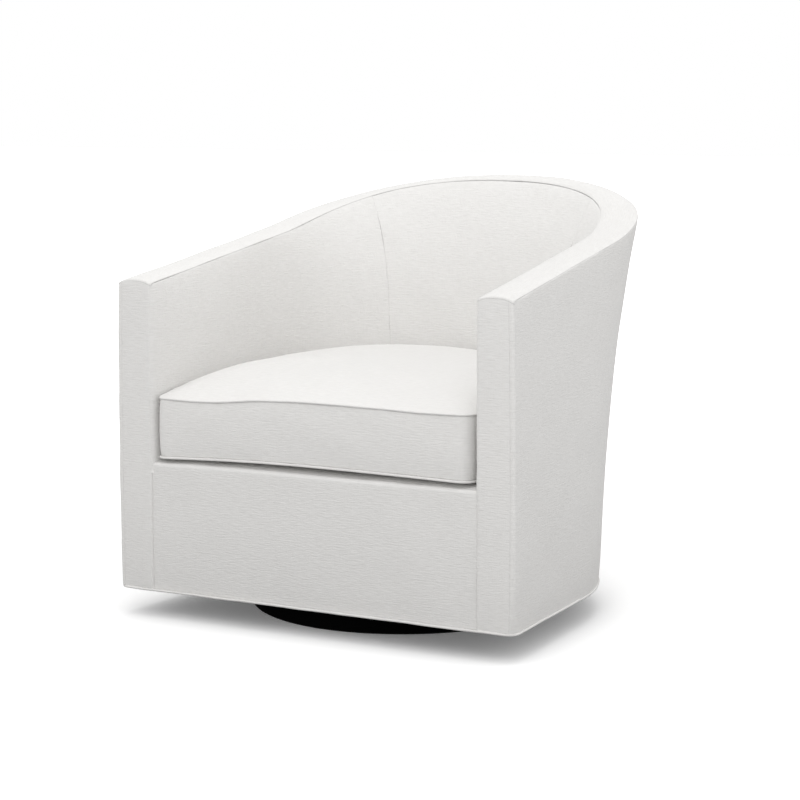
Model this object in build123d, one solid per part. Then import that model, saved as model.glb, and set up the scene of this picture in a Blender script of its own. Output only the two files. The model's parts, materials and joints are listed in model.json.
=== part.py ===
"""Swivel barrel chair: a padded bucket shell on a round plinth, with a loose seat cushion.

Millimetres, +Z up. The origin is the swivel axis at the floor, and the chair faces -Y.
The shell's wall is described by three outlines in plan (rim, seat line and hem). Every layer
of the wall is lofted through upright sections that stand square to the rim, so its thickness
is measured inwards from the seat side or from the outside.
"""

from build123d import *
from math import pi
import os

# ---------------------------------------------------------------- driving dimensions
# Seat line: the inside of the wall at the seat deck, one straight and one curved run a side
FRONT_Y = -342.0
SEAT_FRONT_HALF = 330.0
SEAT_BEND_HALF = 322.4
SEAT_BACK_Y = 321.5
SEAT_SIDE_REACH = 321.0
SEAT_BACK_REACH = 81.5

# Lower outlines bend here, at the height of the seat and at the hem
BEND_Y = -28.0

# Rim: the seam along the inner edge of the top band, set in or out from the seat line
RIM_FRONT_IN = 1.5
RIM_FRONT_Z = 611.5
RIM_BEND_IN = 7.6
RIM_BEND_Y = 103.0
RIM_BEND_Z = 683.0
RIM_BACK_OUT = 83.0
RIM_BACK_Z = 779.0
RIM_SIDE_REACH = 108.0
RIM_BACK_REACH = 292.0
BAND_WIDTH = 67.5
BAND_CROWN = 5.0

# Hem: the outside of the wall at its lower edge, set out from the seat line
FRONT_WALL = 71.8
BEND_WALL = 63.1
HEM_BACK_OUT = 23.5
HEM_SIDE_REACH = 225.0
HEM_BACK_REACH = 206.0
OUTER_LEAN = 0.255
HEM_DROP = 1.9

# Plinth and swivel
FELT_THICKNESS = 3.0
FELT_INSET = 5.0
PLINTH_RADIUS = 281.0
PLINTH_THICKNESS = 30.0
PLINTH_EDGE = 1.5
PLATE_SIZE = 300.0
PLATE_THICKNESS = 2.5
PLATE_CORNER = 20.0
RACE_RADIUS = 105.0
RACE_WIDTH = 20.0
RACE_THICKNESS = 5.0
RACE_GAP = 2.5
BALL_RADIUS = 3.2
BALL_COUNT = 12
BALL_PLAY = 0.05
CAGE_WIDTH = 13.0
CAGE_THICKNESS = 1.5
PIVOT_RADIUS = 6.0
PIVOT_PLAY = 0.08
PIVOT_HEAD_RADIUS = 12.0
PIVOT_HEAD = 5.0
WASHER_RADIUS = 15.0
WASHER_THICKNESS = 2.0
NUT_ACROSS = 19.0
NUT_HEIGHT = 6.0
SCREW_SPACING = 250.0
SCREW_RADIUS = 2.5
SCREW_HEAD_RADIUS = 5.0
SCREW_HEAD = 2.8
PLINTH_SCREW_LENGTH = 22.0
BOARD_SCREW_LENGTH = 15.0

# Timber frame
PLY = 18.0
RIB_DEPTH = 19.0
RIB_THICKNESS = 18.0
POST_DEPTH = 42.0
BOTTOM_RAIL_WIDTH = 60.0
SEAT_RAIL_WIDTH = 42.0
SEAT_RAIL_HEIGHT = 25.0
SEAT_FRAME_Z = 262.0
TOP_RAIL_HEIGHT = 22.0
BLOCK_LEG = 60.0
BLOCK_HEIGHT = 45.0
BACK_RIB = 0.36
CORNER_RIB = 0.72
SIDE_RIB = 1.55
SPLIT = 0.001
SWIVEL_BOARD_DEPTH = 330.0
BOARD_HOLE_RADIUS = 26.0

# Suspension
SPRING_COUNT = 4
SPRING_SPACING = 112.0
SPRING_WIRE = 3.8
SPRING_WIDTH = 60.0
SPRING_BARS = 13
WIRE_SIDES = 4
CLIP_WIDTH = 12.0
CLIP_LENGTH = 12.0
CLIP_SHEET = 1.2
CLIP_PLAY = 0.1
TIE_WIRE = 2.0
TIE_YS = (-110.0, 60.0)
STRAPS = (0.18, 0.54, 1.0, 1.8)
STRAP_WIDTH = 50.0
STRAP_THICKNESS = 1.6

# Layers of the upholstery
COVER = 2.0
OUTER_WADDING = 3.0
LINER = 3.0
LAYER_GAP = 0.4
INNER_FOAM = 14.0
BAND_FOAM = 10.0
FRONT_FOAM = 8.0
DECK_PAD = 25.0
DECK_FRONT_Y = -284.0
RAIL_RECESS = 4.0
RAIL_TOP_Z = 290.0
RAIL_TOP_ROUND = 12.0
DUST_COVER = 0.8
WELT = 5.2
WELT_PROUD = 2.8
BACK_SEAM = 0.4
WINDOW_MARGIN = 2.0

# Seat cushion
CUSHION_TOP_Z = 455.0
CUSHION_CROWN_RADIUS = 3000.0
CUSHION_CROWN_Y = 66.0
CUSHION_GAP = 12.0
CUSHION_FRONT_Y = -336.0
CUSHION_CORNER = 30.0
CUSHION_WELT = 5.0
ZIP_LENGTH = 300.0
ZIP_TAPE_HEIGHT = 24.0
ZIP_TAPE = 1.0
ZIP_COIL_HEIGHT = 6.0
ZIP_COIL = 2.0
ZIP_CLEAR = 0.3
SLIDER_LENGTH = 12.0
SLIDER_WALL = 1.2
PULL_LENGTH = 22.0
PULL_WIDTH = 6.0

# ---------------------------------------------------------------- outlines and heights that follow
RIM_FRONT_HALF = SEAT_FRONT_HALF - RIM_FRONT_IN
RIM_BEND_HALF = SEAT_BEND_HALF - RIM_BEND_IN
RIM_BACK_Y = SEAT_BACK_Y + RIM_BACK_OUT
HEM_FRONT_HALF = SEAT_FRONT_HALF + FRONT_WALL
HEM_BEND_HALF = SEAT_BEND_HALF + BEND_WALL
HEM_BACK_Y = SEAT_BACK_Y + HEM_BACK_OUT
PLINTH_TOP = FELT_THICKNESS + PLINTH_THICKNESS
LOWER_PLATE_TOP = PLINTH_TOP + PLATE_THICKNESS
LOWER_RACE_TOP = LOWER_PLATE_TOP + RACE_THICKNESS
UPPER_RACE_BOTTOM = LOWER_RACE_TOP + RACE_GAP
UPPER_PLATE_BOTTOM = UPPER_RACE_BOTTOM + RACE_THICKNESS
FRAME_Z = UPPER_PLATE_BOTTOM + PLATE_THICKNESS
FRAME_TOP = FRAME_Z + PLY
HEM_Z = FRAME_Z - HEM_DROP
COVER_Z = HEM_Z + WELT + LAYER_GAP
BALL_Z = LOWER_RACE_TOP + RACE_GAP / 2

# Depths through the wall, from the outside and from the seat side
WADDING_IN = COVER + LAYER_GAP
LINER_IN = WADDING_IN + OUTER_WADDING + LAYER_GAP
FRAME_IN = LINER_IN + LINER + LAYER_GAP
RIB_BACK = FRAME_IN + RIB_DEPTH + LAYER_GAP
FOAM_IN = COVER + LAYER_GAP
STRAP_IN = FOAM_IN + INNER_FOAM + LAYER_GAP
RAIL_IN = STRAP_IN + STRAP_THICKNESS + LAYER_GAP

# Levels under the top band
BAND_PAD_TOP = COVER + LAYER_GAP
BAND_PAD_BOTTOM = BAND_PAD_TOP + BAND_FOAM
TOP_RAIL_TOP = BAND_PAD_BOTTOM + LAYER_GAP
TOP_RAIL_BOTTOM = TOP_RAIL_TOP + TOP_RAIL_HEIGHT

# Planes behind the front face
PANEL_BACK_Y = FRONT_Y + COVER
POST_FRONT_Y = PANEL_BACK_Y + LAYER_GAP + FRONT_FOAM + LAYER_GAP
FRONT_RAIL_BACK_Y = POST_FRONT_Y + PLY
POST_BACK_Y = POST_FRONT_Y + POST_DEPTH

# Seat levels
SPRING_Z = SEAT_FRAME_Z + CLIP_SHEET + SPRING_WIRE / 2 + CLIP_PLAY + 0.05
DECK_Z = SPRING_Z + SPRING_WIRE / 2 + CLIP_PLAY + CLIP_SHEET + LAYER_GAP
DECK_COVER_Z = DECK_Z + DECK_PAD + LAYER_GAP
CUSHION_Z = DECK_COVER_Z + COVER + LAYER_GAP
PAD_Z = SEAT_FRAME_Z + LAYER_GAP

PARTS = {}


# ---------------------------------------------------------------- outlines and stations
def bezier(a, b, c, d, t):
    """Point at share t of the cubic curve with control points a, b, c and d."""
    return a * (1 - t) ** 3 + b * 3 * t * (1 - t) ** 2 + c * 3 * t * t * (1 - t) + d * t**3


class Outline:
    """Right half of a plan outline: straight from the front to the bend, curved to the back."""

    def __init__(self, front_half, bend_half, bend_y, back_y, side_reach, back_reach, heights):
        front_z, bend_z, back_z = heights
        self.front = Vector(front_half, FRONT_Y, front_z)
        self.bend = Vector(bend_half, bend_y, bend_z)
        self.back = Vector(0, back_y, back_z)
        along = (self.bend - self.front) * (1 / (bend_y - FRONT_Y))
        self.side_handle = self.bend + along * side_reach
        self.back_handle = Vector(back_reach, back_y, back_z)

    def curved(self, share):
        """Point on the curved run, from the bend at share 0 to the back at share 1."""
        return bezier(self.bend, self.side_handle, self.back_handle, self.back, share)

    def straight(self, share):
        """Point on the straight run, from the front at share 0 to the bend at share 1."""
        return self.front + (self.bend - self.front) * share

    def at(self, run):
        """Point at run 0 (front) to 1 (bend) to 2 (back)."""
        return self.straight(run) if run <= 1 else self.curved(run - 1)

    def out(self, run):
        """Outward direction in plan, square to the outline; straight across at the front."""
        step = 1e-3
        ahead = self.at(min(run + step, 2)) - self.at(max(run - step, 0))
        if run >= 2 - step:
            return Vector(0, 1, 0)
        if run < 1:
            ahead = (self.bend - self.front) * run + Vector(0, 1 - run, 0) * 100
        return Vector(ahead.Y, -ahead.X, 0).normalized()

    def reach(self, start, direction):
        """Distance in plan from start along direction to this outline."""
        def side(run):
            offset = self.at(run) - start
            return offset.X * direction.Y - offset.Y * direction.X

        low, high = 0.0, 2.0
        for _ in range(40):
            middle = (low + high) / 2
            if side(middle) > 0:
                low = middle
            else:
                high = middle
        offset = self.at(low) - start
        return offset.X * direction.X + offset.Y * direction.Y


RIM = Outline(RIM_FRONT_HALF, RIM_BEND_HALF, RIM_BEND_Y, RIM_BACK_Y, RIM_SIDE_REACH,
              RIM_BACK_REACH, (RIM_FRONT_Z, RIM_BEND_Z, RIM_BACK_Z))
SEAT = Outline(SEAT_FRONT_HALF, SEAT_BEND_HALF, BEND_Y, SEAT_BACK_Y, SEAT_SIDE_REACH,
               SEAT_BACK_REACH, (PAD_Z, PAD_Z, PAD_Z))
HEM = Outline(HEM_FRONT_HALF, HEM_BEND_HALF, BEND_Y, HEM_BACK_Y, HEM_SIDE_REACH,
              HEM_BACK_REACH, (HEM_Z, HEM_Z, HEM_Z))


class Station:
    """Upright section of the wall, square to the rim. Place runs from -2 (left front) through
    0 (back) to 2 (right front), and 1 is the bend. r is measured outwards from the rim seam."""

    def __init__(self, place):
        self.side = 1 if place >= 0 else -1
        run = 2 - abs(place)
        self.start = RIM.at(run)
        self.direction = RIM.out(run)
        self.rim_z = self.start.Z
        self.seat_r = SEAT.reach(self.start, self.direction)
        self.hem_r = HEM.reach(self.start, self.direction)

    def point(self, r, z):
        spot = self.start + self.direction * r
        return Vector(self.side * spot.X, spot.Y, z)

    def out(self):
        return Vector(self.side * self.direction.X, self.direction.Y, 0)

    def along(self):
        return self.out().cross(Vector(0, 0, 1))

    def inner(self, z):
        """r of the seat side: upright at the seat, flaring out to the rim."""
        share = max(0.0, (z - PAD_Z) / (self.rim_z - PAD_Z))
        return self.seat_r * (1 - share**3)

    def outer(self, z):
        """r of the outside, which leans out more and more towards the top band."""
        share = (z - HEM_Z) / (self.rim_z - HEM_Z)
        ease = 2 * OUTER_LEAN * share * (1 - share) + share**2
        return self.hem_r + (BAND_WIDTH - self.hem_r) * ease

    def curve(self, face, offset, low, high):
        """Control points along the inner or outer face, offset outwards, between two heights."""
        step = 0.5
        r_at = self.inner if face == "inner" else self.outer
        rise = (high - low) / 3
        slope_low = (r_at(low + step) - r_at(low)) / step
        slope_high = (r_at(high) - r_at(high - step)) / step
        start, end = r_at(low) + offset, r_at(high) + offset
        return [self.point(start, low), self.point(start + slope_low * rise, low + rise),
                self.point(end - slope_high * rise, high - rise), self.point(end, high)]


def place_at(y):
    """Place of the section at this y on the straight run."""
    return 2 - (y - FRONT_Y) / (RIM_BEND_Y - FRONT_Y)


JOINT = place_at(BEND_Y)
HALF_ROUND = [0, 0.1, 0.2, 0.3, 0.4, 0.5, 0.6, 0.7, 0.8, 0.9, 1, 1.1, 1.2]
ROUND = [-JOINT] + [-p for p in reversed(HALF_ROUND[1:])] + HALF_ROUND + [JOINT]
FRONT = 2.0


def y_at(place):
    """y of this place on the straight run."""
    return FRONT_Y + (2 - place) * (RIM_BEND_Y - FRONT_Y)


def outline_at(section, place):
    """Closed wire of the section at this place."""
    curves = section(Station(place))
    return Wire([Edge.make_bezier(*c) if len(c) > 2 else Edge.make_line(*c) for c in curves])


def slice_y(solid, y_from, y_to):
    """The part of a solid between two planes across the chair."""
    size = 2000
    return solid & Pos(0, (y_from + y_to) / 2, 0) * Box(size, y_to - y_from, size)


def straight(section, side, front, back):
    """Straight run on one side, between two places, as flat-ended pieces."""
    ends = [outline_at(section, side * FRONT), outline_at(section, side * JOINT)]
    run = Solid.make_loft(ends, ruled=True)
    if front < FRONT or back > JOINT:
        y_from = y_at(front) if front < FRONT else 2 * FRONT_Y
        y_to = y_at(back) if back > JOINT else -FRONT_Y
        run = slice_y(run, y_from, y_to)
    return run


def sector(low, high):
    """Upright prism that holds the wall between two places of the round part."""
    deep, wide, tall = 130, 160, 1000
    a, b = Station(low), Station(high)
    corners = [a.point(-deep, 0), a.point(wide, 0), a.point(wide, 0) + a.out() * tall,
               b.point(wide, 0) + b.out() * tall, b.point(wide, 0), b.point(-deep, 0)]
    return Solid.extrude(Face(Wire.make_polygon(corners)), Vector(0, 0, tall))


def wall(section, low, high):
    """Solid of this section along the wall from one place to the other."""
    pieces = []
    if low < -JOINT:
        pieces.append(straight(section, -1, -low, max(JOINT, -high)))
    if high > -JOINT and low < JOINT:
        bend = Solid.make_loft([outline_at(section, p) for p in ROUND])
        if low > -JOINT or high < JOINT:
            bend = bend & sector(max(low, -JOINT), min(high, JOINT))
        pieces.append(bend)
    if high > JOINT:
        pieces.append(straight(section, 1, high, max(JOINT, low)))
    whole = pieces[0]
    for piece in pieces[1:]:
        whole = whole + piece
    return whole


def slab(near, near_offset, far, far_offset, low, high, crown=0.0):
    """Section between two faces and two heights, each of which may follow the rim."""
    def section(station):
        bottom = low(station) if callable(low) else low
        top = high(station) if callable(high) else high
        inside = station.curve(near, near_offset, bottom, top)
        outside = station.curve(far, far_offset, bottom, top)
        middle = (inside[3] + outside[3]) * 0.5 + Vector(0, 0, 2 * crown)
        roof = [inside[3], middle, outside[3]] if crown else [inside[3], outside[3]]
        return [inside, roof, outside[::-1], [outside[0], inside[0]]]

    return section


def board(section, place, thickness):
    """Narrow piece of this section, centred on a place."""
    if abs(place) > JOINT:
        share = thickness / 2 / (RIM_BEND_Y - FRONT_Y)
        side = 1 if place > 0 else -1
        return straight(section, side, abs(place) + share, abs(place) - share)
    pace = (RIM.at(2.01 - abs(place)) - RIM.at(1.99 - abs(place))).length / 0.02
    half = thickness / 2 / pace
    return Solid.make_loft([outline_at(section, place + half * step) for step in (-1, 0, 1)])


def below_rim(drop):
    return lambda station: station.rim_z - drop


def keep(name, *solids):
    """Holds a node's solids for export."""
    PARTS[name] = list(solids)


def plan_face(r_at, z, front_y, corner=0.0):
    """Flat face at this height inside the wall line r_at(station), straight in front."""
    def spot(station):
        return station.point(r_at(station), z)

    right = [spot(Station(JOINT)), spot(Station(FRONT))]
    slope = (right[1] - right[0]) * (1 / (right[1].Y - right[0].Y))
    end = right[0] + slope * (front_y - right[0].Y)
    mirrored = Vector(-end.X, end.Y, z)
    ring = [spot(Station(p)) for p in ROUND]
    edges = [Edge.make_line(mirrored, ring[0]), Edge.make_spline(ring),
             Edge.make_line(ring[-1], end), Edge.make_line(end, mirrored)]
    face = Face(Wire(edges))
    if corner > 0:
        corners = [v for v in face.vertices() if v.Y < front_y + 1]
        face = face.fillet_2d(corner, corners)
    return face


def seat_line(z, offset):
    """Wall line at this height, offset outwards from the seat side."""
    return lambda station: station.inner(z) + offset


# ---------------------------------------------------------------- plinth and swivel
def plate(z, hole_radius):
    """Square steel plate with rounded corners, a centre hole and four screw holes."""
    outline = RectangleRounded(PLATE_SIZE, PLATE_SIZE, PLATE_CORNER)
    outline -= Circle(hole_radius)
    outline -= GridLocations(SCREW_SPACING, SCREW_SPACING, 2, 2) * Circle(SCREW_RADIUS)
    return Pos(0, 0, z) * extrude(outline, PLATE_THICKNESS)


def race(z):
    """Ring with the ball groove; the groove's centre is the ring of balls."""
    ring = Circle(RACE_RADIUS + RACE_WIDTH / 2) - Circle(RACE_RADIUS - RACE_WIDTH / 2)
    groove = Pos(0, 0, BALL_Z) * Torus(RACE_RADIUS, BALL_RADIUS + BALL_PLAY)
    return Pos(0, 0, z) * extrude(ring, RACE_THICKNESS) - groove


def screw(x, y, head_z, length, upward):
    """Pan head with a plain shank, pointing up or down from the underside of its head."""
    head = Pos(0, 0, -SCREW_HEAD / 2) * Cylinder(SCREW_HEAD_RADIUS, SCREW_HEAD)
    shank = Pos(0, 0, length / 2) * Cylinder(SCREW_RADIUS - BALL_PLAY, length)
    body = head + shank
    turn = Rot(0, 0, 0) if upward else Rot(180, 0, 0)
    return Pos(x, y, head_z) * turn * body


def screw_holes(z, length):
    """Four screw holes from this height up."""
    hole = Pos(0, 0, z + length / 2) * Cylinder(SCREW_RADIUS, length)
    return [spot * hole for spot in GridLocations(SCREW_SPACING, SCREW_SPACING, 2, 2)]


def make_plinth():
    felt = Pos(0, 0, FELT_THICKNESS / 2) * Cylinder(PLINTH_RADIUS - FELT_INSET, FELT_THICKNESS)
    disc = Cylinder(PLINTH_RADIUS, PLINTH_THICKNESS)
    disc = chamfer(disc.edges(), PLINTH_EDGE)
    disc = Pos(0, 0, FELT_THICKNESS + PLINTH_THICKNESS / 2) * disc
    pocket = PIVOT_HEAD_RADIUS + LAYER_GAP
    disc -= Pos(0, 0, PLINTH_TOP - PIVOT_HEAD / 2) * Cylinder(pocket, PIVOT_HEAD)
    drill = PLINTH_SCREW_LENGTH - PLATE_THICKNESS + LAYER_GAP
    disc -= screw_holes(PLINTH_TOP - drill, drill)
    keep("felt_pad", felt)
    keep("plinth_disc", disc)
    half = SCREW_SPACING / 2
    corners = [(x, y) for x in (-half, half) for y in (-half, half)]
    keep("plinth_screws", *[screw(x, y, LOWER_PLATE_TOP, PLINTH_SCREW_LENGTH, False)
                            for x, y in corners])
    keep("board_screws", *[screw(x, y, UPPER_PLATE_BOTTOM, BOARD_SCREW_LENGTH, True)
                           for x, y in corners])


def make_swivel():
    keep("lower_plate", plate(PLINTH_TOP, PIVOT_RADIUS))
    keep("upper_plate", plate(UPPER_PLATE_BOTTOM, PIVOT_RADIUS + PIVOT_PLAY))
    keep("lower_race", race(LOWER_PLATE_TOP))
    keep("upper_race", race(UPPER_RACE_BOTTOM))
    cage = Circle(RACE_RADIUS + CAGE_WIDTH / 2) - Circle(RACE_RADIUS - CAGE_WIDTH / 2)
    spots = PolarLocations(RACE_RADIUS, BALL_COUNT)
    cage -= spots * Circle(BALL_RADIUS + BALL_PLAY)
    keep("ball_cage", Pos(0, 0, BALL_Z - CAGE_THICKNESS / 2) * extrude(cage, CAGE_THICKNESS))
    keep("bearing_balls", *[Pos(0, 0, BALL_Z) * spot * Sphere(BALL_RADIUS) for spot in spots])
    washer_z = FRAME_Z + PIVOT_PLAY
    nut_z = washer_z + WASHER_THICKNESS
    bolt_top = nut_z + NUT_HEIGHT + WASHER_THICKNESS
    shank = bolt_top - PLINTH_TOP
    bolt = Pos(0, 0, PLINTH_TOP - PIVOT_HEAD / 2) * Cylinder(PIVOT_HEAD_RADIUS, PIVOT_HEAD)
    bolt += Pos(0, 0, PLINTH_TOP + shank / 2) * Cylinder(PIVOT_RADIUS, shank)
    washer = extrude(Circle(WASHER_RADIUS) - Circle(PIVOT_RADIUS), WASHER_THICKNESS)
    nut = RegularPolygon(NUT_ACROSS / 2, 6, major_radius=False) - Circle(PIVOT_RADIUS)
    keep("pivot_bolt", bolt)
    keep("pivot_washer", Pos(0, 0, washer_z) * washer)
    keep("pivot_nut", Pos(0, 0, nut_z) * extrude(nut, NUT_HEIGHT))


# ---------------------------------------------------------------- timber frame
def make_rails():
    front = place_at(POST_BACK_Y + LAYER_GAP)
    near = -FRAME_IN - LAYER_GAP
    bottom = slab("outer", near - BOTTOM_RAIL_WIDTH, "outer", near, FRAME_Z, FRAME_TOP)
    seat = slab("outer", -RIB_BACK - SEAT_RAIL_WIDTH, "outer", -RIB_BACK,
                SEAT_FRAME_Z - SEAT_RAIL_HEIGHT, SEAT_FRAME_Z)
    top = slab("inner", RAIL_IN, "outer", -FRAME_IN, below_rim(TOP_RAIL_BOTTOM),
               below_rim(TOP_RAIL_TOP))
    for name, section in (("bottom_rail", bottom), ("seat_rail", seat), ("top_rail", top)):
        keep(name + "_left", wall(section, -front, -JOINT))
        keep(name + "_back", wall(section, -JOINT, JOINT))
        keep(name + "_right", wall(section, JOINT, front))


def make_posts():
    post = slab("inner", RAIL_IN, "outer", -FRAME_IN, FRAME_Z, below_rim(TOP_RAIL_TOP))
    front, back = place_at(POST_FRONT_Y), place_at(POST_BACK_Y)
    keep("front_post_left", wall(post, -front, -back))
    keep("front_post_right", wall(post, back, front))
    rib = slab("outer", -FRAME_IN - RIB_DEPTH, "outer", -FRAME_IN, FRAME_TOP + LAYER_GAP,
               below_rim(TOP_RAIL_BOTTOM + LAYER_GAP))
    groups = {"back_uprights": (-BACK_RIB, 0, BACK_RIB), "corner_uprights": (-CORNER_RIB, CORNER_RIB),
              "side_uprights": (-SIDE_RIB, SIDE_RIB)}
    for name, spots in groups.items():
        keep(name, *[board(rib, place, RIB_THICKNESS) for place in spots])


def make_front_rail():
    station = Station(place_at(FRONT_RAIL_BACK_Y))
    half = station.point(station.seat_r + RAIL_IN, 0).X - LAYER_GAP
    height = SEAT_FRAME_Z - FRAME_Z
    middle = (POST_FRONT_Y + FRONT_RAIL_BACK_Y) / 2
    keep("front_rail", Pos(0, middle, FRAME_Z + height / 2) * Box(2 * half, PLY, height))
    block = extrude(Polygon((0, 0), (0, BLOCK_LEG), (-BLOCK_LEG, 0), align=None), BLOCK_HEIGHT)
    place = Pos(half - LAYER_GAP, FRONT_RAIL_BACK_Y + LAYER_GAP, FRAME_TOP + LAYER_GAP)
    right = place * block
    keep("corner_blocks", right, mirror(right, Plane.YZ))


def make_swivel_board():
    edge = FRAME_IN + BOTTOM_RAIL_WIDTH + 3 * LAYER_GAP
    room = plan_face(lambda s: s.outer(FRAME_Z) - edge, FRAME_Z, POST_BACK_Y)
    middle = Pos(0, 0, FRAME_Z + PLY / 2)
    sheet = middle * Box(2 * RIM_FRONT_HALF, SWIVEL_BOARD_DEPTH, PLY)
    sheet = sheet & Solid.extrude(room, Vector(0, 0, PLY))
    sheet -= middle * Cylinder(BOARD_HOLE_RADIUS, PLY)
    sheet -= screw_holes(FRAME_Z, BOARD_SCREW_LENGTH - PLATE_THICKNESS + LAYER_GAP)
    keep("swivel_board", sheet)


# ---------------------------------------------------------------- suspension
def seat_spring(x, front_y, back_y):
    """Sinuous spring: straight bars across, joined by half turns, running front to back."""
    pitch = (back_y - front_y) / (SPRING_BARS - 1)
    turn = pitch / 2
    bar = SPRING_WIDTH / 2 - turn
    wire = []
    for number in range(SPRING_BARS):
        y = front_y + number * pitch
        side = 1 if number % 2 == 0 else -1
        wire.append(Edge.make_line((x - side * bar, y, SPRING_Z), (x + side * bar, y, SPRING_Z)))
        if number < SPRING_BARS - 1:
            bend = (x + side * (bar + turn), y + turn, SPRING_Z)
            wire.append(Edge.make_three_point_arc((x + side * bar, y, SPRING_Z), bend,
                                                  (x + side * bar, y + pitch, SPRING_Z)))
    start = Plane(origin=(x - bar, front_y, SPRING_Z), z_dir=(1, 0, 0))
    return sweep(start * RegularPolygon(SPRING_WIRE / 2, WIRE_SIDES), path=Wire(wire))


def spring_clip(x, y, facing):
    """Bent steel clip round an end bar, with its foot on the rail; facing is +1 at the back."""
    inside = SPRING_WIRE / 2 + CLIP_PLAY
    outside = inside + CLIP_SHEET
    foot, lip = CLIP_LENGTH - outside, inside * 2
    section = Polygon((foot, -outside), (foot, -inside), (-inside, -inside), (-inside, inside),
                      (lip, inside), (lip, outside), (-outside, outside), (-outside, -outside),
                      align=None)
    bent = extrude(Plane.YZ * section, CLIP_WIDTH / 2, both=True)
    turn = Rot(0, 0, 0) if facing > 0 else Rot(0, 0, 180)
    return Pos(x, y, SPRING_Z) * turn * bent


def rail_edge_y(x):
    """y of the back seat rail's inner edge at this x."""
    low, high = 0.0, 1.0
    for _ in range(30):
        middle = (low + high) / 2
        station = Station(middle)
        edge = station.point(station.outer(SEAT_FRAME_Z) - RIB_BACK - SEAT_RAIL_WIDTH, 0)
        low, high = (middle, high) if edge.X < abs(x) else (low, middle)
    return edge.Y


def make_suspension():
    front_y = FRONT_RAIL_BACK_Y - PLY / 2
    xs = [(i - (SPRING_COUNT - 1) / 2) * SPRING_SPACING for i in range(SPRING_COUNT)]
    ends = [rail_edge_y(x) + CLIP_LENGTH / 2 for x in xs]
    keep("seat_springs", *[seat_spring(x, front_y, y) for x, y in zip(xs, ends)])
    clips = [spring_clip(x, front_y, -1) for x in xs]
    clips += [spring_clip(x, y, 1) for x, y in zip(xs, ends)]
    keep("spring_clips", *clips)
    length = xs[-1] - xs[0] + SPRING_WIDTH
    tie_z = SPRING_Z - (SPRING_WIRE + TIE_WIRE) / 2
    tie = Rot(0, 90, 0) * Cylinder(TIE_WIRE / 2, length)
    keep("spring_tie_wires", *[Pos(0, y, tie_z) * tie for y in TIE_YS])
    strap = slab("inner", STRAP_IN, "inner", STRAP_IN + STRAP_THICKNESS, PAD_Z,
                 below_rim(TOP_RAIL_TOP))
    straps = [board(strap, side * place, STRAP_WIDTH) for place in STRAPS for side in (-1, 1)]
    keep("back_webbing", *straps)


# ---------------------------------------------------------------- upholstery
def make_outer_layers():
    top = below_rim(BAND_PAD_BOTTOM + LAYER_GAP)
    front = place_at(POST_FRONT_Y)
    liner = slab("outer", -LINER_IN - LINER, "outer", -LINER_IN, COVER_Z, top)
    wadding = slab("outer", -WADDING_IN - OUTER_WADDING, "outer", -WADDING_IN, COVER_Z, top)
    cover = slab("outer", -COVER, "outer", 0, COVER_Z, below_rim(BAND_PAD_TOP))
    keep("outer_liner", wall(liner, -front, front))
    keep("outer_wadding", wall(wadding, -front, front))
    keep("outer_cover", wall(cover, -FRONT, FRONT))


def make_inner_layers():
    foam = slab("inner", FOAM_IN, "inner", FOAM_IN + INNER_FOAM, PAD_Z,
                below_rim(BAND_PAD_BOTTOM + LAYER_GAP))
    lining = slab("inner", 0, "inner", COVER, PAD_Z, below_rim(BAND_PAD_TOP))
    foam_front = place_at(POST_FRONT_Y)
    seam = BACK_SEAM
    keep("inner_cover_left", wall(lining, -FRONT, -seam - SPLIT))
    keep("inner_cover_back", wall(lining, -seam, seam))
    keep("inner_cover_right", wall(lining, seam + SPLIT, FRONT))
    keep("inner_pad_left", wall(foam, -foam_front, -seam - SPLIT))
    keep("inner_pad_back", wall(foam, -seam, seam))
    keep("inner_pad_right", wall(foam, seam + SPLIT, foam_front))


def make_band():
    front = place_at(PANEL_BACK_Y + LAYER_GAP)
    pad = slab("inner", FOAM_IN, "outer", -WADDING_IN, below_rim(BAND_PAD_BOTTOM),
               below_rim(BAND_PAD_TOP), BAND_CROWN)
    keep("band_pad", wall(pad, -front, front))

    def strip(station):
        down = Vector(0, 0, -COVER)
        edge, rim = station.point(BAND_WIDTH, station.rim_z), station.point(0, station.rim_z)
        middle = (edge + rim) * 0.5 + Vector(0, 0, 2 * BAND_CROWN)
        return [[rim, middle, edge], [edge, edge + down], [edge + down, middle + down, rim + down],
                [rim + down, rim]]

    keep("band_cover", wall(strip, -FRONT, FRONT))


def make_arm_fronts():
    side = COVER + LAYER_GAP
    panel = slab("inner", side, "outer", -side, COVER_Z, below_rim(BAND_PAD_TOP), BAND_CROWN)
    pad = slab("inner", side, "outer", -side, COVER_Z, below_rim(BAND_PAD_BOTTOM + LAYER_GAP))
    back = place_at(PANEL_BACK_Y)
    near, far = place_at(PANEL_BACK_Y + LAYER_GAP), place_at(POST_FRONT_Y - LAYER_GAP)
    keep("arm_panel_left", wall(panel, -FRONT, -back))
    keep("arm_panel_right", wall(panel, back, FRONT))
    keep("arm_pad_left", wall(pad, -near, -far))
    keep("arm_pad_right", wall(pad, far, near))


def rail_wrap(front_y, top, corner):
    """Side view of the front rail with this much cladding, from the hem to the deck."""
    depth, height = DECK_FRONT_Y - LAYER_GAP - front_y, top - COVER_Z
    block = Pos(front_y + depth / 2, COVER_Z + height / 2) * Rectangle(depth, height)
    front_top = block.vertices().sort_by(Axis.Y)[-2:].sort_by(Axis.X)[0]
    return fillet(front_top, corner)


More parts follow.
